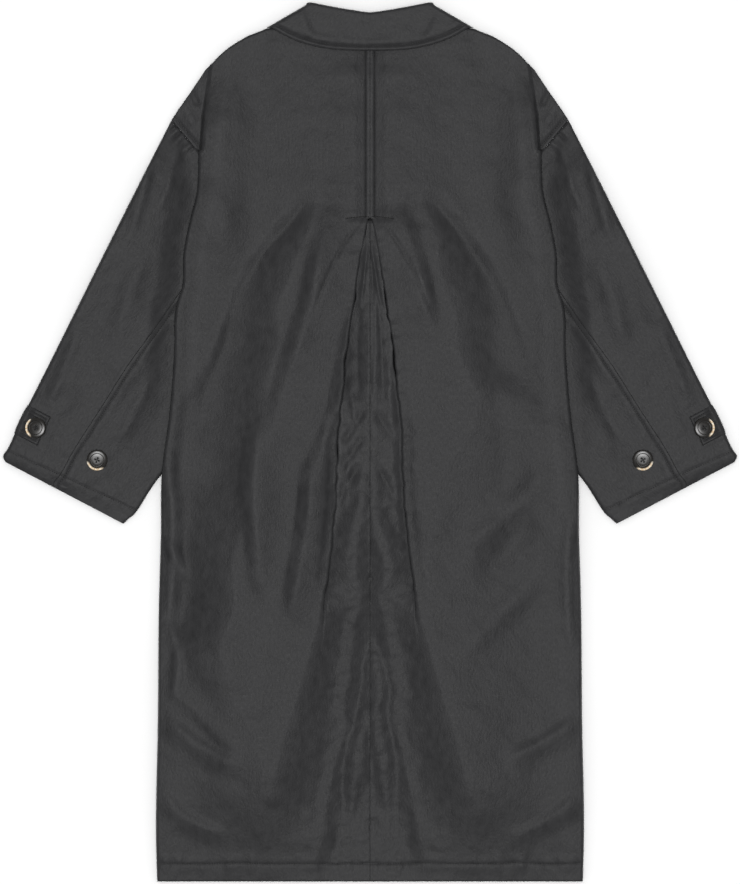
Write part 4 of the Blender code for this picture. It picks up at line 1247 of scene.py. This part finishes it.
def cuff_tab(name, side, finish):
    """A strap round the outer edge of the sleeve, made from the sleeve's own section moved out."""
    stations = np.linspace(*TAB_SPAN, TAB_ROWS)
    runs = np.broadcast_to(np.linspace(TAB_REACH, TURN_INSET, TAB_COLUMNS), (TAB_ROWS, TAB_COLUMNS))
    under_run = np.full(TAB_ROWS, TAB_RETURN)
    on_sleeve = WALL / 2 + GAP
    outer = sleeve_skin(stations, side, runs, under_run, offset=on_sleeve + TAB_WALL)
    under = sleeve_skin(stations, side, runs, under_run, offset=on_sleeve)
    width = np.linalg.norm(outer[-1, 0] - outer[0, 0])
    across = np.broadcast_to(np.linspace(0, width, TAB_ROWS)[:, None], outer.shape[:2])
    length = run_along(outer, 1)
    column = np.arange(outer.shape[1])

    long_edge = np.minimum(across, width - across)
    edge = np.minimum(long_edge, length)
    corner = 1 - TAB_CORNER["part"] * fade((0, TAB_CORNER["width"]), long_edge)
    thick = 1 - ease(TAB_THINS, column - TAB_COLUMNS) * (1 - TAB_THIN * corner)
    outer = under + (outer - under) * thick[..., None]
    second = edge > TAB_STITCH + TAB_GROOVE["apart"]
    grooves = bell(edge - TAB_STITCH, TAB_GROOVE["width"])
    grooves += bell(long_edge - TAB_SECOND_STITCH, TAB_GROOVE["width"]) * second
    slit = between(*TAB_SLIT["span"], length) * bell(across - width / 2, TAB_SLIT["width"])
    lift = -TAB_EDGE["fall"] * np.clip(1 - edge / TAB_EDGE["width"], 0, 1) ** 2
    lift -= TAB_GROOVE["depth"] * grooves + TAB_SLIT["depth"] * slit
    outer[..., 2] += lift * (column < TAB_SEWN)
    cut = np.stack([across, length], axis=2)
    return cloth_wall(name, outer, under, cut, finish, TAB_ROUND), cut


# Collar
COLLAR_WALL = 3.0
ROLL_HALF = 87.0
FALL_HALF = 141.0
STAND_HALF = 122.0
# Heights of its lines at the side, at the centre of the back and of the front, and how they bend at the back
COLLAR_LINES = {
    "roll": {"side": 1195.5, "back": 1182.0, "front": 1120.0, "bend": 1.2},
    "fall": {"side": 1161.0, "back": 1130.0, "front": 1079.0, "bend": 2.9},
    "stand": {"side": 1168.0, "back": 1150.0, "front": 1096.0, "bend": 2.0},
}
FALL_LEVELS = (COLLAR_WALL / 2, 12.8)
STAND_RISE = 2.0
COLLAR_END_GAP = 1.0
FLAT_STEPS = 62
SIDE_STEPS = 11
FALL_STEPS = 16
ROLL_STEPS = 10
STAND_STEPS = 5
FALL_LENGTH = 50.0        # from its edge to the roll
FALL_OFFSETS = np.array((0, 1.7, 3.3, 4.5, 5.5, 6.2, 6.9, 7.9, 9.4, 11.6)) / FALL_LENGTH
FALL_LINE = 5             # place of the stitched line among these
# The stitched rim of the fall: groove, rounded edge and the padding beyond
COLLAR_RIM = table("run width height", (6.2, 1.4, -1.0), (3.0, 2.0, 0.7), (12, 5, 0.4))
# Short creases of the fall: part of the way to the side, and of the way from its edge to the roll
COLLAR_CREASES = table(
    "side part from_edge slant width height",
    (-1, 0.76, 0.45, 0.62, 0.05, 1.3),
    (1, 0.75, 0.45, 0.62, 0.05, 1.3),
    (1, 0.95, 0.25, 0.5, 0.06, 0.8),
    (-1, 0.30, 0.40, 0.35, 0.06, 0.6),
)
CREASE_LENGTH = 0.28
CREASE_FADE = 4.0         # widths over which the cloth comes down again beside a crease
CREASES_END = (0.8, 1.0)
COLLAR_RUMPLE = ((0.25, 26, 71),)
COLLAR_SPREAD = 90.0      # length to the side, for that


def collar_height(line, part, at_back):
    """Height of one of the collar's lines, a part of the way from the centre to the side."""
    sizes = COLLAR_LINES[line]
    centre = sizes["back" if at_back else "front"]
    return centre + (sizes["side"] - centre) * part ** (sizes["bend"] if at_back else 1)


def collar_ring():
    """Places round the collar from its left end: part to the side, turn about it, if at the back, side."""
    half = [(part, 0.0, True) for part in np.linspace(0, 1, FLAT_STEPS + 1)]
    for step in range(1, SIDE_STEPS):
        half.append((1.0, math.pi * step / SIDE_STEPS, step < SIDE_STEPS / 2))
    half += [(part, math.pi, False) for part in np.linspace(1, 0, FLAT_STEPS + 1)]
    left = [(*place, -1) for place in reversed(half[1:])]
    return left + [(*half[0], 1)] + [(*place, 1) for place in half[1:]]


def collar_relief(part, side, from_edge):
    """Height added to the fall at its back: the stitched rim and a few creases."""
    run = from_edge * FALL_LENGTH
    lift = sum(height * bell(run - place, width) for place, width, height in zip(*COLLAR_RIM.values()))
    for crease_side, place, middle, slant, width, height in zip(*COLLAR_CREASES.values()):
        aside = part * side * crease_side - place - slant * (from_edge - middle)
        step = (1 + math.tanh(aside / width)) / 2 * bell(max(aside, 0), CREASE_FADE * width)
        lift += height * step * bell(from_edge - middle, CREASE_LENGTH)
    return (lift + rumple(part * side * COLLAR_SPREAD, run, COLLAR_RUMPLE)) * fade(CREASES_END, from_edge)


def collar_section(part, at_back, offset, side):
    """Points (half, rise, up) from the fall's edge over the roll to the foot of the stand."""
    fall_rise = (FALL_LEVELS[1] - FALL_LEVELS[0]) / 2
    roll = (fall_rise - STAND_RISE) / 2
    top = collar_height("roll", part, at_back) - COLLAR_WALL / 2 - roll
    fall = collar_height("fall", part, at_back)
    stand = collar_height("stand", part, at_back)
    section = []
    for from_edge in np.append(FALL_OFFSETS, np.linspace(FALL_OFFSETS[-1], 1, FALL_STEPS + 1)[1:]):
        lift = collar_relief(part, side, from_edge) if at_back and offset > 0 else 0
        half = ROLL_HALF + (FALL_HALF - ROLL_HALF) * (1 - from_edge) + offset
        section.append((half, fall_rise + offset + lift, top + (fall - top) * (1 - from_edge)))
    for angle in np.linspace(0, math.pi, ROLL_STEPS + 1)[1:-1]:
        inset = roll - (roll + offset) * math.cos(angle)
        section.append((ROLL_HALF - inset, fall_rise - inset, top + (roll + offset) * math.sin(angle)))
    begin = ROLL_HALF - 2 * roll
    for w in np.linspace(0, 1, STAND_STEPS + 1):
        half = begin + (STAND_HALF - begin) * w - offset
        section.append((half, STAND_RISE - offset, top + (stand - top) * w))
    return section


def collar_skin(offset):
    """Rows of points round the collar, one of its two skins."""
    middle = sum(FALL_LEVELS) / 2
    rows = []
    for part, turn, at_back, side in collar_ring():
        row = []
        for half, rise, up in collar_section(part, at_back, offset, side):
            reach = part * (half - COLLAR_WALL / 2 - rise) + rise * math.sin(turn)
            x = side * max(reach, 0 if at_back else COLLAR_END_GAP)
            row.append((x, up, middle + rise * math.cos(turn)))
        rows.append(row)
    return np.array(rows)


def collar(name, finish):
    """Fall and stand in one, rolled over along the top and open at the front."""
    outer, inner = collar_skin(COLLAR_WALL / 2), collar_skin(-COLLAR_WALL / 2)
    cut = np.stack(flat_runs((outer + inner) / 2)[::-1], axis=2)
    return cloth_wall(name, outer, inner, cut, finish), cut


# Materials
GRAIN_SCALE = 1 / 0.0028  # the twill's own ribs are near 0.3 mm, too fine to show, so they are drawn coarser
SLUB_SCALE = 1 / 0.009
TWIST_SCALE = 1800.0      # fibres of the thread, 0.5 mm long
STREAK_SCALE = 260.0      # streaks of the horn, 4 mm apart


def linear(code):
    """Linear colour of an sRGB hex value."""
    parts = [int(code[k:k + 2], 16) / 255 for k in (0, 2, 4)]
    return tuple(p / 12.92 if p <= 0.04045 else ((p + 0.055) / 1.055) ** 2.4 for p in parts) + (1,)


def set_inputs(tree, node, values):
    """Links inputs of a node to sockets, or sets them to values."""
    for name, value in values.items():
        if isinstance(value, bpy.types.NodeSocket):
            tree.links.new(value, node.inputs[name])
        else:
            node.inputs[name].default_value = value


def add_node(tree, kind, inputs=None, stops=(), **settings):
    """A node with its settings and inputs; the stops are a colour ramp's positions and colours."""
    node = tree.nodes.new(kind)
    for name, value in settings.items():
        setattr(node, name, value)
    for element, (position, code) in zip(node.color_ramp.elements if stops else (), stops):
        element.position = position
        element.color = linear(code)
    set_inputs(tree, node, inputs or {})
    return node


def new_material(name):
    """A material with its Principled shader."""
    made = bpy.data.materials.new(name)
    made.use_nodes = True
    return made, made.node_tree, made.node_tree.nodes["Principled BSDF"]


def padded_twill():
    """Closely woven polyester twill over thin wadding: dark grey, satin gloss, a fine uneven grain, with a
    painted highlight on its crests and painted shade in its hollows.
    """
    made, tree, shader = new_material("padded_polyester_twill")
    place = add_node(tree, "ShaderNodeUVMap", uv_map="cut").outputs["UV"]
    along = add_node(tree, "ShaderNodeMapping", {"Vector": place, "Scale": (1.0, 0.55, 1.0)})
    grain, slub = (
        add_node(tree, "ShaderNodeTexNoise", {
            "Vector": along.outputs["Vector"], "Scale": scale, "Detail": detail,
        }).outputs["Fac"]
        for scale, detail in ((GRAIN_SCALE, 1.5), (SLUB_SCALE, 3.0))
    )
    # Crest makes the base colour lighter where the cloth stands out and darker in its hollows: painted
    # highlight and painted shade
    crest = add_node(tree, "ShaderNodeAttribute", attribute_name="crest").outputs["Fac"]
    painted_highlight_and_shade = add_node(tree, "ShaderNodeMapRange", {
        "Value": crest, "From Min": -0.9, "From Max": 0.9, "To Min": -0.2, "To Max": 0.8,
    }).outputs["Result"]
    tone, fibres = (
        add_node(tree, "ShaderNodeMath", {0: slub, 1: share, 2: rest}, operation="MULTIPLY_ADD").outputs[0]
        for share, rest in ((0.75, painted_highlight_and_shade), (0.9, grain))
    )
    shade = add_node(tree, "ShaderNodeValToRGB", {"Fac": tone}, ((0.15, "1B1B1C"), (1.15 / 1.35, "313132")))
    gloss = add_node(tree, "ShaderNodeMapRange", {
        "Value": fibres, "From Min": 0.45, "From Max": 1.45, "To Min": 0.25, "To Max": 0.43,
    }).outputs["Result"]
    bump = add_node(tree, "ShaderNodeBump", {"Height": grain, "Strength": 0.9, "Distance": 0.0003})
    set_inputs(tree, shader, {
        "Base Color": shade.outputs["Color"], "Roughness": gloss, "Specular IOR Level": 0.055,
        "Normal": bump.outputs["Normal"],
    })
    return made


def sewing_thread():
    """Spun polyester thread, black, with the fuzz and twist of its fibres."""
    made, tree, shader = new_material("black_sewing_thread")
    place = add_node(tree, "ShaderNodeTexCoord").outputs["Object"]
    twist = add_node(tree, "ShaderNodeTexNoise", {"Vector": place, "Scale": TWIST_SCALE}).outputs["Fac"]
    shade = add_node(tree, "ShaderNodeValToRGB", {"Fac": twist}, ((0, "121212"), (1, "2A2A2A")))
    set_inputs(tree, shader, {
        "Base Color": shade.outputs["Color"], "Roughness": 0.6, "Specular IOR Level": 0.1,
    })
    return made


def dark_horn():
    """Polished dark horn, glossy and streaked, with a painted highlight along one side of the rim; UV is the
    place in metres.
    """
    made, tree, shader = new_material("polished_dark_horn")
    place = add_node(tree, "ShaderNodeUVMap", uv_map="face").outputs["UV"]
    low = add_node(tree, "ShaderNodeSeparateXYZ", {"Vector": place}).outputs["Y"]
    radius = add_node(tree, "ShaderNodeVectorMath", {0: place}, operation="LENGTH").outputs["Value"]
    # A cream band on one side of the rim, mixed into the horn's colour: a painted highlight that stands in
    # for a glint of light
    on_rim, on_side = (
        add_node(tree, "ShaderNodeMapRange", {
            "Value": value, "From Min": begin, "From Max": end, "To Min": 0.0, "To Max": 1.0,
        }).outputs["Result"]
        for value, begin, end in ((radius, 0.0106, 0.0124), (low, -0.0058, -0.0090))
    )
    painted_glint = add_node(tree, "ShaderNodeMath", {0: on_rim, 1: on_side}, operation="MULTIPLY").outputs[0]
    stretch = add_node(tree, "ShaderNodeMapping", {"Vector": place, "Scale": (1.0, 0.3, 1.0)})
    streaks = add_node(tree, "ShaderNodeTexNoise", {
        "Vector": stretch.outputs["Vector"], "Scale": STREAK_SCALE, "Detail": 4.0,
    }).outputs["Fac"]
    dark, light = (
        add_node(tree, "ShaderNodeValToRGB", {"Fac": streaks}, stops).outputs["Color"]
        for stops in (((0, "0C0B0A"), (1, "1D1A17")), ((0.35, "C49A5C"), (0.6, "EFE6D4")))
    )
    mixed = add_node(tree, "ShaderNodeMix", {0: painted_glint, 6: dark, 7: light}, data_type="RGBA").outputs[2]
    set_inputs(tree, shader, {"Base Color": mixed, "Roughness": 0.12, "Specular IOR Level": 0.32})
    return made


# Sewing thread
STITCH = {"pitch": 3.4, "length": 2.5, "radius": 0.34}
BAR_TACK = {"pitch": 2.4, "length": 2.2, "radius": 0.55}
STITCH_STEP = 1.5         # the most that a stitch rises or falls
BUTTON_THREAD = {"radius": 0.544, "height": 3.2}
THREAD_SIDES = 6
NEEDLE = 100.0            # height from which a stitch comes down
# Rings of a stitch: part of its length, part of its radius, and height above the cloth
STITCH_RINGS = table(
    "along radius rise",
    (0, 0.5, -0.35), (0.25, 0.95, 0.1), (0.5, 1, 0.2), (0.75, 0.95, 0.1), (1, 0.5, -0.35),
)


def pick_only(thing):
    """Makes one object the only selected and active one."""
    bpy.ops.object.select_all(action="DESELECT")
    thing.select_set(True)
    bpy.context.view_layer.objects.active = thing


def spaced(path, pitch):
    """Places along a path at an even pitch."""
    done = path_run(path)
    at = np.arange(0, done[-1], pitch)
    return np.stack([np.interp(at, done, path[:, 0]), np.interp(at, done, path[:, 1])], axis=1)


def on_cloth(place, piece):
    """Height in mm of a piece's top at a place, or None beside it."""
    start = Vector((place[0] * MM, (place[1] - LENGTH / 2) * MM, NEEDLE * MM))
    hit, where, _, _ = piece.ray_cast(start, Vector((0, 0, -1)))
    return where.z / MM if hit else None


def stitches(name, ends, radius, finish):
    """One mesh of rounded stitches, each from a point to a point (x, up, z)."""
    angles = np.linspace(0, 2 * math.pi, THREAD_SIDES, endpoint=False)
    rings = len(STITCH_RINGS["along"])
    points, faces = [], []
    for start, end in ends:
        run = np.array(end) - start
        across = np.array((-run[1], run[0], 0.0))
        across = across / np.linalg.norm(across)
        upright = np.cross(run, across)
        upright = upright / np.linalg.norm(upright)
        upright = upright * np.sign(upright[2])
        base = len(points)
        for along, size, rise in zip(*STITCH_RINGS.values()):
            middle = np.array(start) + run * along + upright * rise
            for angle in angles:
                spoke = across * math.cos(angle) + upright * math.sin(angle)
                points.append(middle + spoke * size * radius)
        for ring in range(rings - 1):
            for k in range(THREAD_SIDES):
                a = base + ring * THREAD_SIDES + k
                b = base + ring * THREAD_SIDES + (k + 1) % THREAD_SIDES
                faces.append((a, b, b + THREAD_SIDES, a + THREAD_SIDES))
        faces.append(tuple(base + k for k in reversed(range(THREAD_SIDES))))
        faces.append(tuple(base + (rings - 1) * THREAD_SIDES + k for k in range(THREAD_SIDES)))
    mesh = bpy.data.meshes.new(name)
    mesh.from_pydata(in_metres(points), [], faces)
    mesh.validate()
    mesh.shade_smooth()
    made = as_piece(name, mesh, finish)
    pick_only(made)
    bpy.ops.object.mode_set(mode="EDIT")
    bpy.ops.mesh.select_all(action="SELECT")
    bpy.ops.mesh.normals_make_consistent(inside=False)
    bpy.ops.object.mode_set(mode="OBJECT")
    return made


def sewn_line(name, paths, piece, finish, pitch, length, radius):
    """Stitches along paths (x, up), lying on a piece of cloth."""
    ends = []
    for path in paths:
        begins = spaced(path, pitch)
        heads = np.diff(np.concatenate([begins, path[-1:]]), axis=0)
        for begin, head in zip(begins, heads):
            far = np.hypot(*head)
            if far < length / 2:
                continue
            last = begin + head / far * length
            low, high = on_cloth(begin, piece), on_cloth(last, piece)
            if low is None or high is None or abs(high - low) > STITCH_STEP:
                continue
            ends.append(((*begin, low), (*last, high)))
    return stitches(name, ends, radius, finish)


# Buttons
BUTTON_RADIUS = 14.2
BUTTON_SIDES = 64
BUTTON_EDGE = (0.8, 2.2)        # heights of the widest part of the button
# Steps over the face: how far in, and how far up
BUTTON_FACE = table(
    "inset rise",
    (0.35, 0.9), (0.65, 0.5), (1.0, 0.24), (1.2, 0.17), (1.2, 0.13), (0.8, -1.1), (0.4, -0.05), (0.5, 0.1),
    (4.1, -0.02),
)
BUTTON_BACK = table("inset rise", (0.6, -0.8), (1.4, -0.05))
LEVEL_FACE = 0.9                # of a unit normal, upright in a top or bottom face
BUTTON_CREASE = math.radians(50)
HOLE_RADIUS = 1.5
HOLE_PLACE = 2.8                # of each of the four holes from the centre
HOLE_TURN = 8.0
HOLE_SIDES = 20
DRILL = {"depth": 20.0, "middle": 2.0}
# The last entry of each button is the turn, in degrees, of the painted highlight on its rim
TAB_BUTTON = {
    "station": 6.06, "across": 0.115, "seat": TAB_LIFT, "settle": 0.75, "tilt": 8.0, "rock": 0.0, "painted_glint": 28,
}
CUFF_BUTTON = {
    "station": 6.05, "across": 0.585, "seat": 0.0, "settle": 0.0, "tilt": 0.0, "rock": -5.4, "painted_glint": 96,
}


def step_face(thing, top, sizes):
    """Insets the top or bottom face of a turned piece in steps and moves each in or out."""
    pick_only(thing)
    bpy.ops.object.mode_set(mode="EDIT")
    bpy.ops.mesh.select_mode(type="FACE")
    bpy.ops.mesh.select_all(action="DESELECT")
    bpy.ops.object.mode_set(mode="OBJECT")
    for face in thing.data.polygons:
        face.select = face.normal.z * top > LEVEL_FACE
    bpy.ops.object.mode_set(mode="EDIT")
    for inset, rise in zip(sizes["inset"], sizes["rise"]):
        bpy.ops.mesh.inset(thickness=inset * MM, depth=0.0)
        bpy.ops.transform.translate(value=(0, 0, rise * MM))
    bpy.ops.object.mode_set(mode="OBJECT")


def turned_button():
    """A button with a rounded rim, a dished face with a ring groove, and four holes."""
    low, high = BUTTON_EDGE
    bpy.ops.mesh.primitive_cylinder_add(
        vertices=BUTTON_SIDES, radius=BUTTON_RADIUS * MM, depth=(high - low) * MM,
        location=(0, 0, (low + high) / 2 * MM),
    )
    disc = bpy.context.object
    bpy.ops.object.transform_apply(location=True, rotation=True, scale=True)
    step_face(disc, 1, BUTTON_FACE)
    step_face(disc, -1, BUTTON_BACK)
    for k in range(4):
        angle = math.radians(HOLE_TURN + 90 * k)
        place = HOLE_PLACE * MM
        bpy.ops.mesh.primitive_cylinder_add(
            vertices=HOLE_SIDES, radius=HOLE_RADIUS * MM, depth=DRILL["depth"] * MM,
            location=(place * math.cos(angle), place * math.sin(angle), DRILL["middle"] * MM),
        )
        drill = bpy.context.object
        pick_only(disc)
        hole = disc.modifiers.new("hole", "BOOLEAN")
        hole.object = drill
        hole.operation = "DIFFERENCE"
        bpy.ops.object.modifier_apply(modifier="hole")
        bpy.data.objects.remove(drill, do_unlink=True)
    pick_only(disc)
    bpy.ops.object.shade_smooth_by_angle(angle=BUTTON_CREASE)
    return disc


def button_place(side, place):
    """Centre of a button that rests on the sleeve, tipped to its outer edge, and its three directions."""
    station = np.array(place["station"])
    width = float(sleeve_frame(station)[2])
    height = float(sleeve_levels(station, place["across"])[1]) + WALL / 2 + GAP + place["seat"]
    tilt = math.radians(place["tilt"])
    height += BUTTON_RADIUS * math.sin(tilt) - place["settle"]
    x, up = sleeve_place(station, place["across"] * width)
    outward = sleeve_place(station, 0.0) - (x, up)
    outward = outward / np.hypot(*outward)
    lean = Vector((side * outward[0] * math.cos(tilt), outward[1] * math.cos(tilt), -math.sin(tilt)))
    axis = Vector((side * outward[0] * math.sin(tilt), outward[1] * math.sin(tilt), math.cos(tilt)))
    return Vector((side * x, up - LENGTH / 2, height)) * MM, lean, axis.cross(lean), axis


def set_button(name, pattern, side, place, finish):
    """A copy of the button at its place, with its painted highlight turned to its own side."""
    centre, *directions = button_place(side, place)
    rock = Matrix.Rotation(-math.radians(place["rock"]), 3, "X")
    lean, level, axis = (rock @ direction for direction in directions)
    mesh = pattern.data.copy()
    mesh.name = name
    glint_turn = math.radians(place["painted_glint"])
    face = mesh.uv_layers.new(name="face")
    for loop in mesh.loops:
        x, y, _ = mesh.vertices[loop.vertex_index].co
        turn_x = x * math.sin(glint_turn) + y * side * math.cos(glint_turn)
        turn_y = -x * math.cos(glint_turn) + y * side * math.sin(glint_turn)
        face.data[loop.index].uv = (turn_x, turn_y)
    for vertex in mesh.vertices:
        x, y, z = vertex.co
        vertex.co = centre + lean * x + level * y + axis * z
    return as_piece(name, mesh, finish)


def cross_thread(name, side, place, finish):
    """The thread that crosses the four holes of a button."""
    centre, lean, level, axis = button_place(side, place)
    top = centre + axis * BUTTON_THREAD["height"] * MM
    ends = []
    for k in range(2):
        angle = math.radians(HOLE_TURN + 90 * k)
        spoke = (lean * math.cos(angle) + level * math.sin(angle)) * HOLE_PLACE * MM
        pair = [(top + spoke * sign) / MM for sign in (-1, 1)]
        ends.append([(point.x, point.y + LENGTH / 2, point.z) for point in pair])
    return stitches(name, ends, BUTTON_THREAD["radius"], finish)


# Pieces
CLOTH = padded_twill()
THREAD = sewing_thread()
HORN = dark_horn()
cloth = {"collar": collar("shell_collar", CLOTH)}
for side_name, side in SIDES:
    cloth[f"back_{side_name}"] = back_half(f"shell_back_{side_name}", side, CLOTH)
    cloth[f"front_{side_name}"] = front_half(f"shell_front_{side_name}", side, side < 0, CLOTH)
    cloth[f"sleeve_{side_name}_top"] = sleeve_piece(f"shell_sleeve_{side_name}_top", side, False, CLOTH)
    cloth[f"sleeve_{side_name}_under"] = sleeve_piece(f"shell_sleeve_{side_name}_under", side, True, CLOTH)
    cloth[f"cuff_tab_{side_name}"] = cuff_tab(f"shell_cuff_tab_{side_name}", side, CLOTH)
bpy.context.view_layer.update()

# Sewn lines (x, up) that lie on the pieces
FALL_PARTS = np.linspace(-0.97, 0.97, 120)
BAR_LINE = np.array((
    (-BAR_HALF - 2, BAR_UP - 0.4), (-12, BAR_UP + 2.0), (12, BAR_UP + 2.0), (BAR_HALF, BAR_UP - 0.4),
))
NECK_LINES = [np.array(((-5, up), (10, up))) for up in (1126.0, 1123.0)]
CENTRE_TOP = 1128.0
HEM_HALF = (2.0, 287.0)
TAB_TURN = 7.0            # from the sleeve's edge, where the tab's stitching ends
TAB_STATIONS = (57.0, 42.0)       # length of the sleeve for each station, at the tab's two long edges
SECOND_SHORT = 3.0        # by which the tab's second line is shorter


def fall_line():
    """The stitched line along the collar's edge."""
    line = []
    for part in FALL_PARTS:
        half, rise, up = collar_section(abs(part), True, COLLAR_WALL / 2, 1)[FALL_LINE]
        line.append((part * (half - COLLAR_WALL / 2 - rise), up))
    return np.array(line)


def tab_lines():
    """The stitched lines of a cuff tab, on the wearer's right."""
    reach = TAB_REACH - TAB_STITCH
    (near, far), second = (
        (TAB_SPAN[0] + inset / TAB_STATIONS[0], TAB_SPAN[1] - inset / TAB_STATIONS[1])
        for inset in (TAB_STITCH, TAB_SECOND_STITCH)
    )
    lines = [sleeve_place((near, near, far, far), (TAB_TURN, reach, reach, TAB_TURN))]
    return lines + [sleeve_place((at, at), (TAB_TURN, reach - SECOND_SHORT)) for at in second]


def sew(node, paths, name, thread=STITCH):
    """Stitches along paths on the piece of a node, kept with that piece."""
    piece, _ = cloth[node]
    sewing.setdefault(node, []).append(sewn_line(name, paths, piece, THREAD, **thread))


sewing = {}
sew("collar", [fall_line()], "stitches_collar")
for side_name, side in SIDES:
    flip = np.array((side, 1))
    centre_line = np.array(((side * CENTRE_STITCH, CENTRE_TOP), (side * CENTRE_STITCH, BAR_UP + 2)))
    hem_line = hem_path()
    hem_line = hem_line[(hem_line[:, 0] * side > HEM_HALF[0]) & (np.abs(hem_line[:, 0]) < HEM_HALF[1])]
    armhole_line = moved_aside(ARMHOLE, ARMHOLE_STITCH) * flip
    cuff_line = cuff_path() * flip
    back, sleeve, tab = f"back_{side_name}", f"sleeve_{side_name}", f"cuff_tab_{side_name}"
    sew(back, [centre_line, hem_line, armhole_line] + NECK_LINES, f"stitches_{back}")
    sew(back, [BAR_LINE], f"bar_tack_{side_name}", BAR_TACK)
    sew(f"{sleeve}_under", [seam_path(SEAM_STITCH) * flip, cuff_line], f"stitches_{sleeve}_under")
    sew(f"{sleeve}_top", [cuff_line], f"stitches_{sleeve}_top")
    sew(tab, [line * flip for line in tab_lines()], f"stitches_{tab}")

button_pattern = turned_button()
for side_name, side in SIDES:
    for kind, place in (("tab_button", TAB_BUTTON), ("cuff_button", CUFF_BUTTON)):
        node = f"{kind}_{side_name}"
        disc = set_button(f"horn_{node}", button_pattern, side, place, HORN)
        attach(disc, "root")
        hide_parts(node)
        thread = cross_thread(f"thread_{node}", side, place, THREAD)
        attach(thread, "root")
bpy.data.objects.remove(button_pattern, do_unlink=True)

for node, (piece, cut) in cloth.items():
    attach(piece, "root")
    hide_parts(node)
    with_pieces = sewing.get(node, [])
    for thread in with_pieces:
        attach(thread, "root")

# Floor, in metres
FLOOR_SIZE = 40.0
bpy.ops.mesh.primitive_plane_add(size=FLOOR_SIZE)
floor = bpy.context.object
floor.name = "floor"
FLOOR, tree, shader = new_material("pale_floor")
set_inputs(tree, shader, {"Base Color": linear("F2F2F2"), "Roughness": 0.9})
floor.data.materials.append(FLOOR)

# A light tent: even round the horizon and brightest straight above
TENT_EVEN = 0.62
TENT_ABOVE = 20.0
TENT_FOCUS = 70.0
world = bpy.data.worlds.new("light_tent")
bpy.context.scene.world = world
world.use_nodes = True
tree = world.node_tree
direction = add_node(tree, "ShaderNodeTexCoord").outputs["Generated"]
height = add_node(tree, "ShaderNodeSeparateXYZ", {"Vector": direction}).outputs["Z"]
above = add_node(tree, "ShaderNodeMath", {0: height, 1: 0.0}, operation="MAXIMUM").outputs[0]
lobe = add_node(tree, "ShaderNodeMath", {0: above, 1: TENT_FOCUS}, operation="POWER").outputs[0]
strength = add_node(tree, "ShaderNodeMath", {0: lobe, 1: TENT_ABOVE, 2: TENT_EVEN}, operation="MULTIPLY_ADD")
set_inputs(tree, tree.nodes["Background"], {"Strength": strength.outputs[0], "Color": (1, 1, 1, 1)})

# Camera straight above, in metres
PHOTO_HEIGHT = 1.2022
CAMERA_HEIGHT = 20.0
CLOTH_TOP = 0.01
SENSOR = 36
camera_data = bpy.data.cameras.new("camera")
camera_data.sensor_width = SENSOR
camera_data.lens = SENSOR * CAMERA_HEIGHT / PHOTO_HEIGHT
camera = bpy.data.objects.new("camera", camera_data)
camera.location = (0, 0, CAMERA_HEIGHT + CLOTH_TOP)
bpy.context.scene.collection.objects.link(camera)
bpy.context.scene.camera = camera
bpy.context.scene.view_settings.view_transform = "Standard"
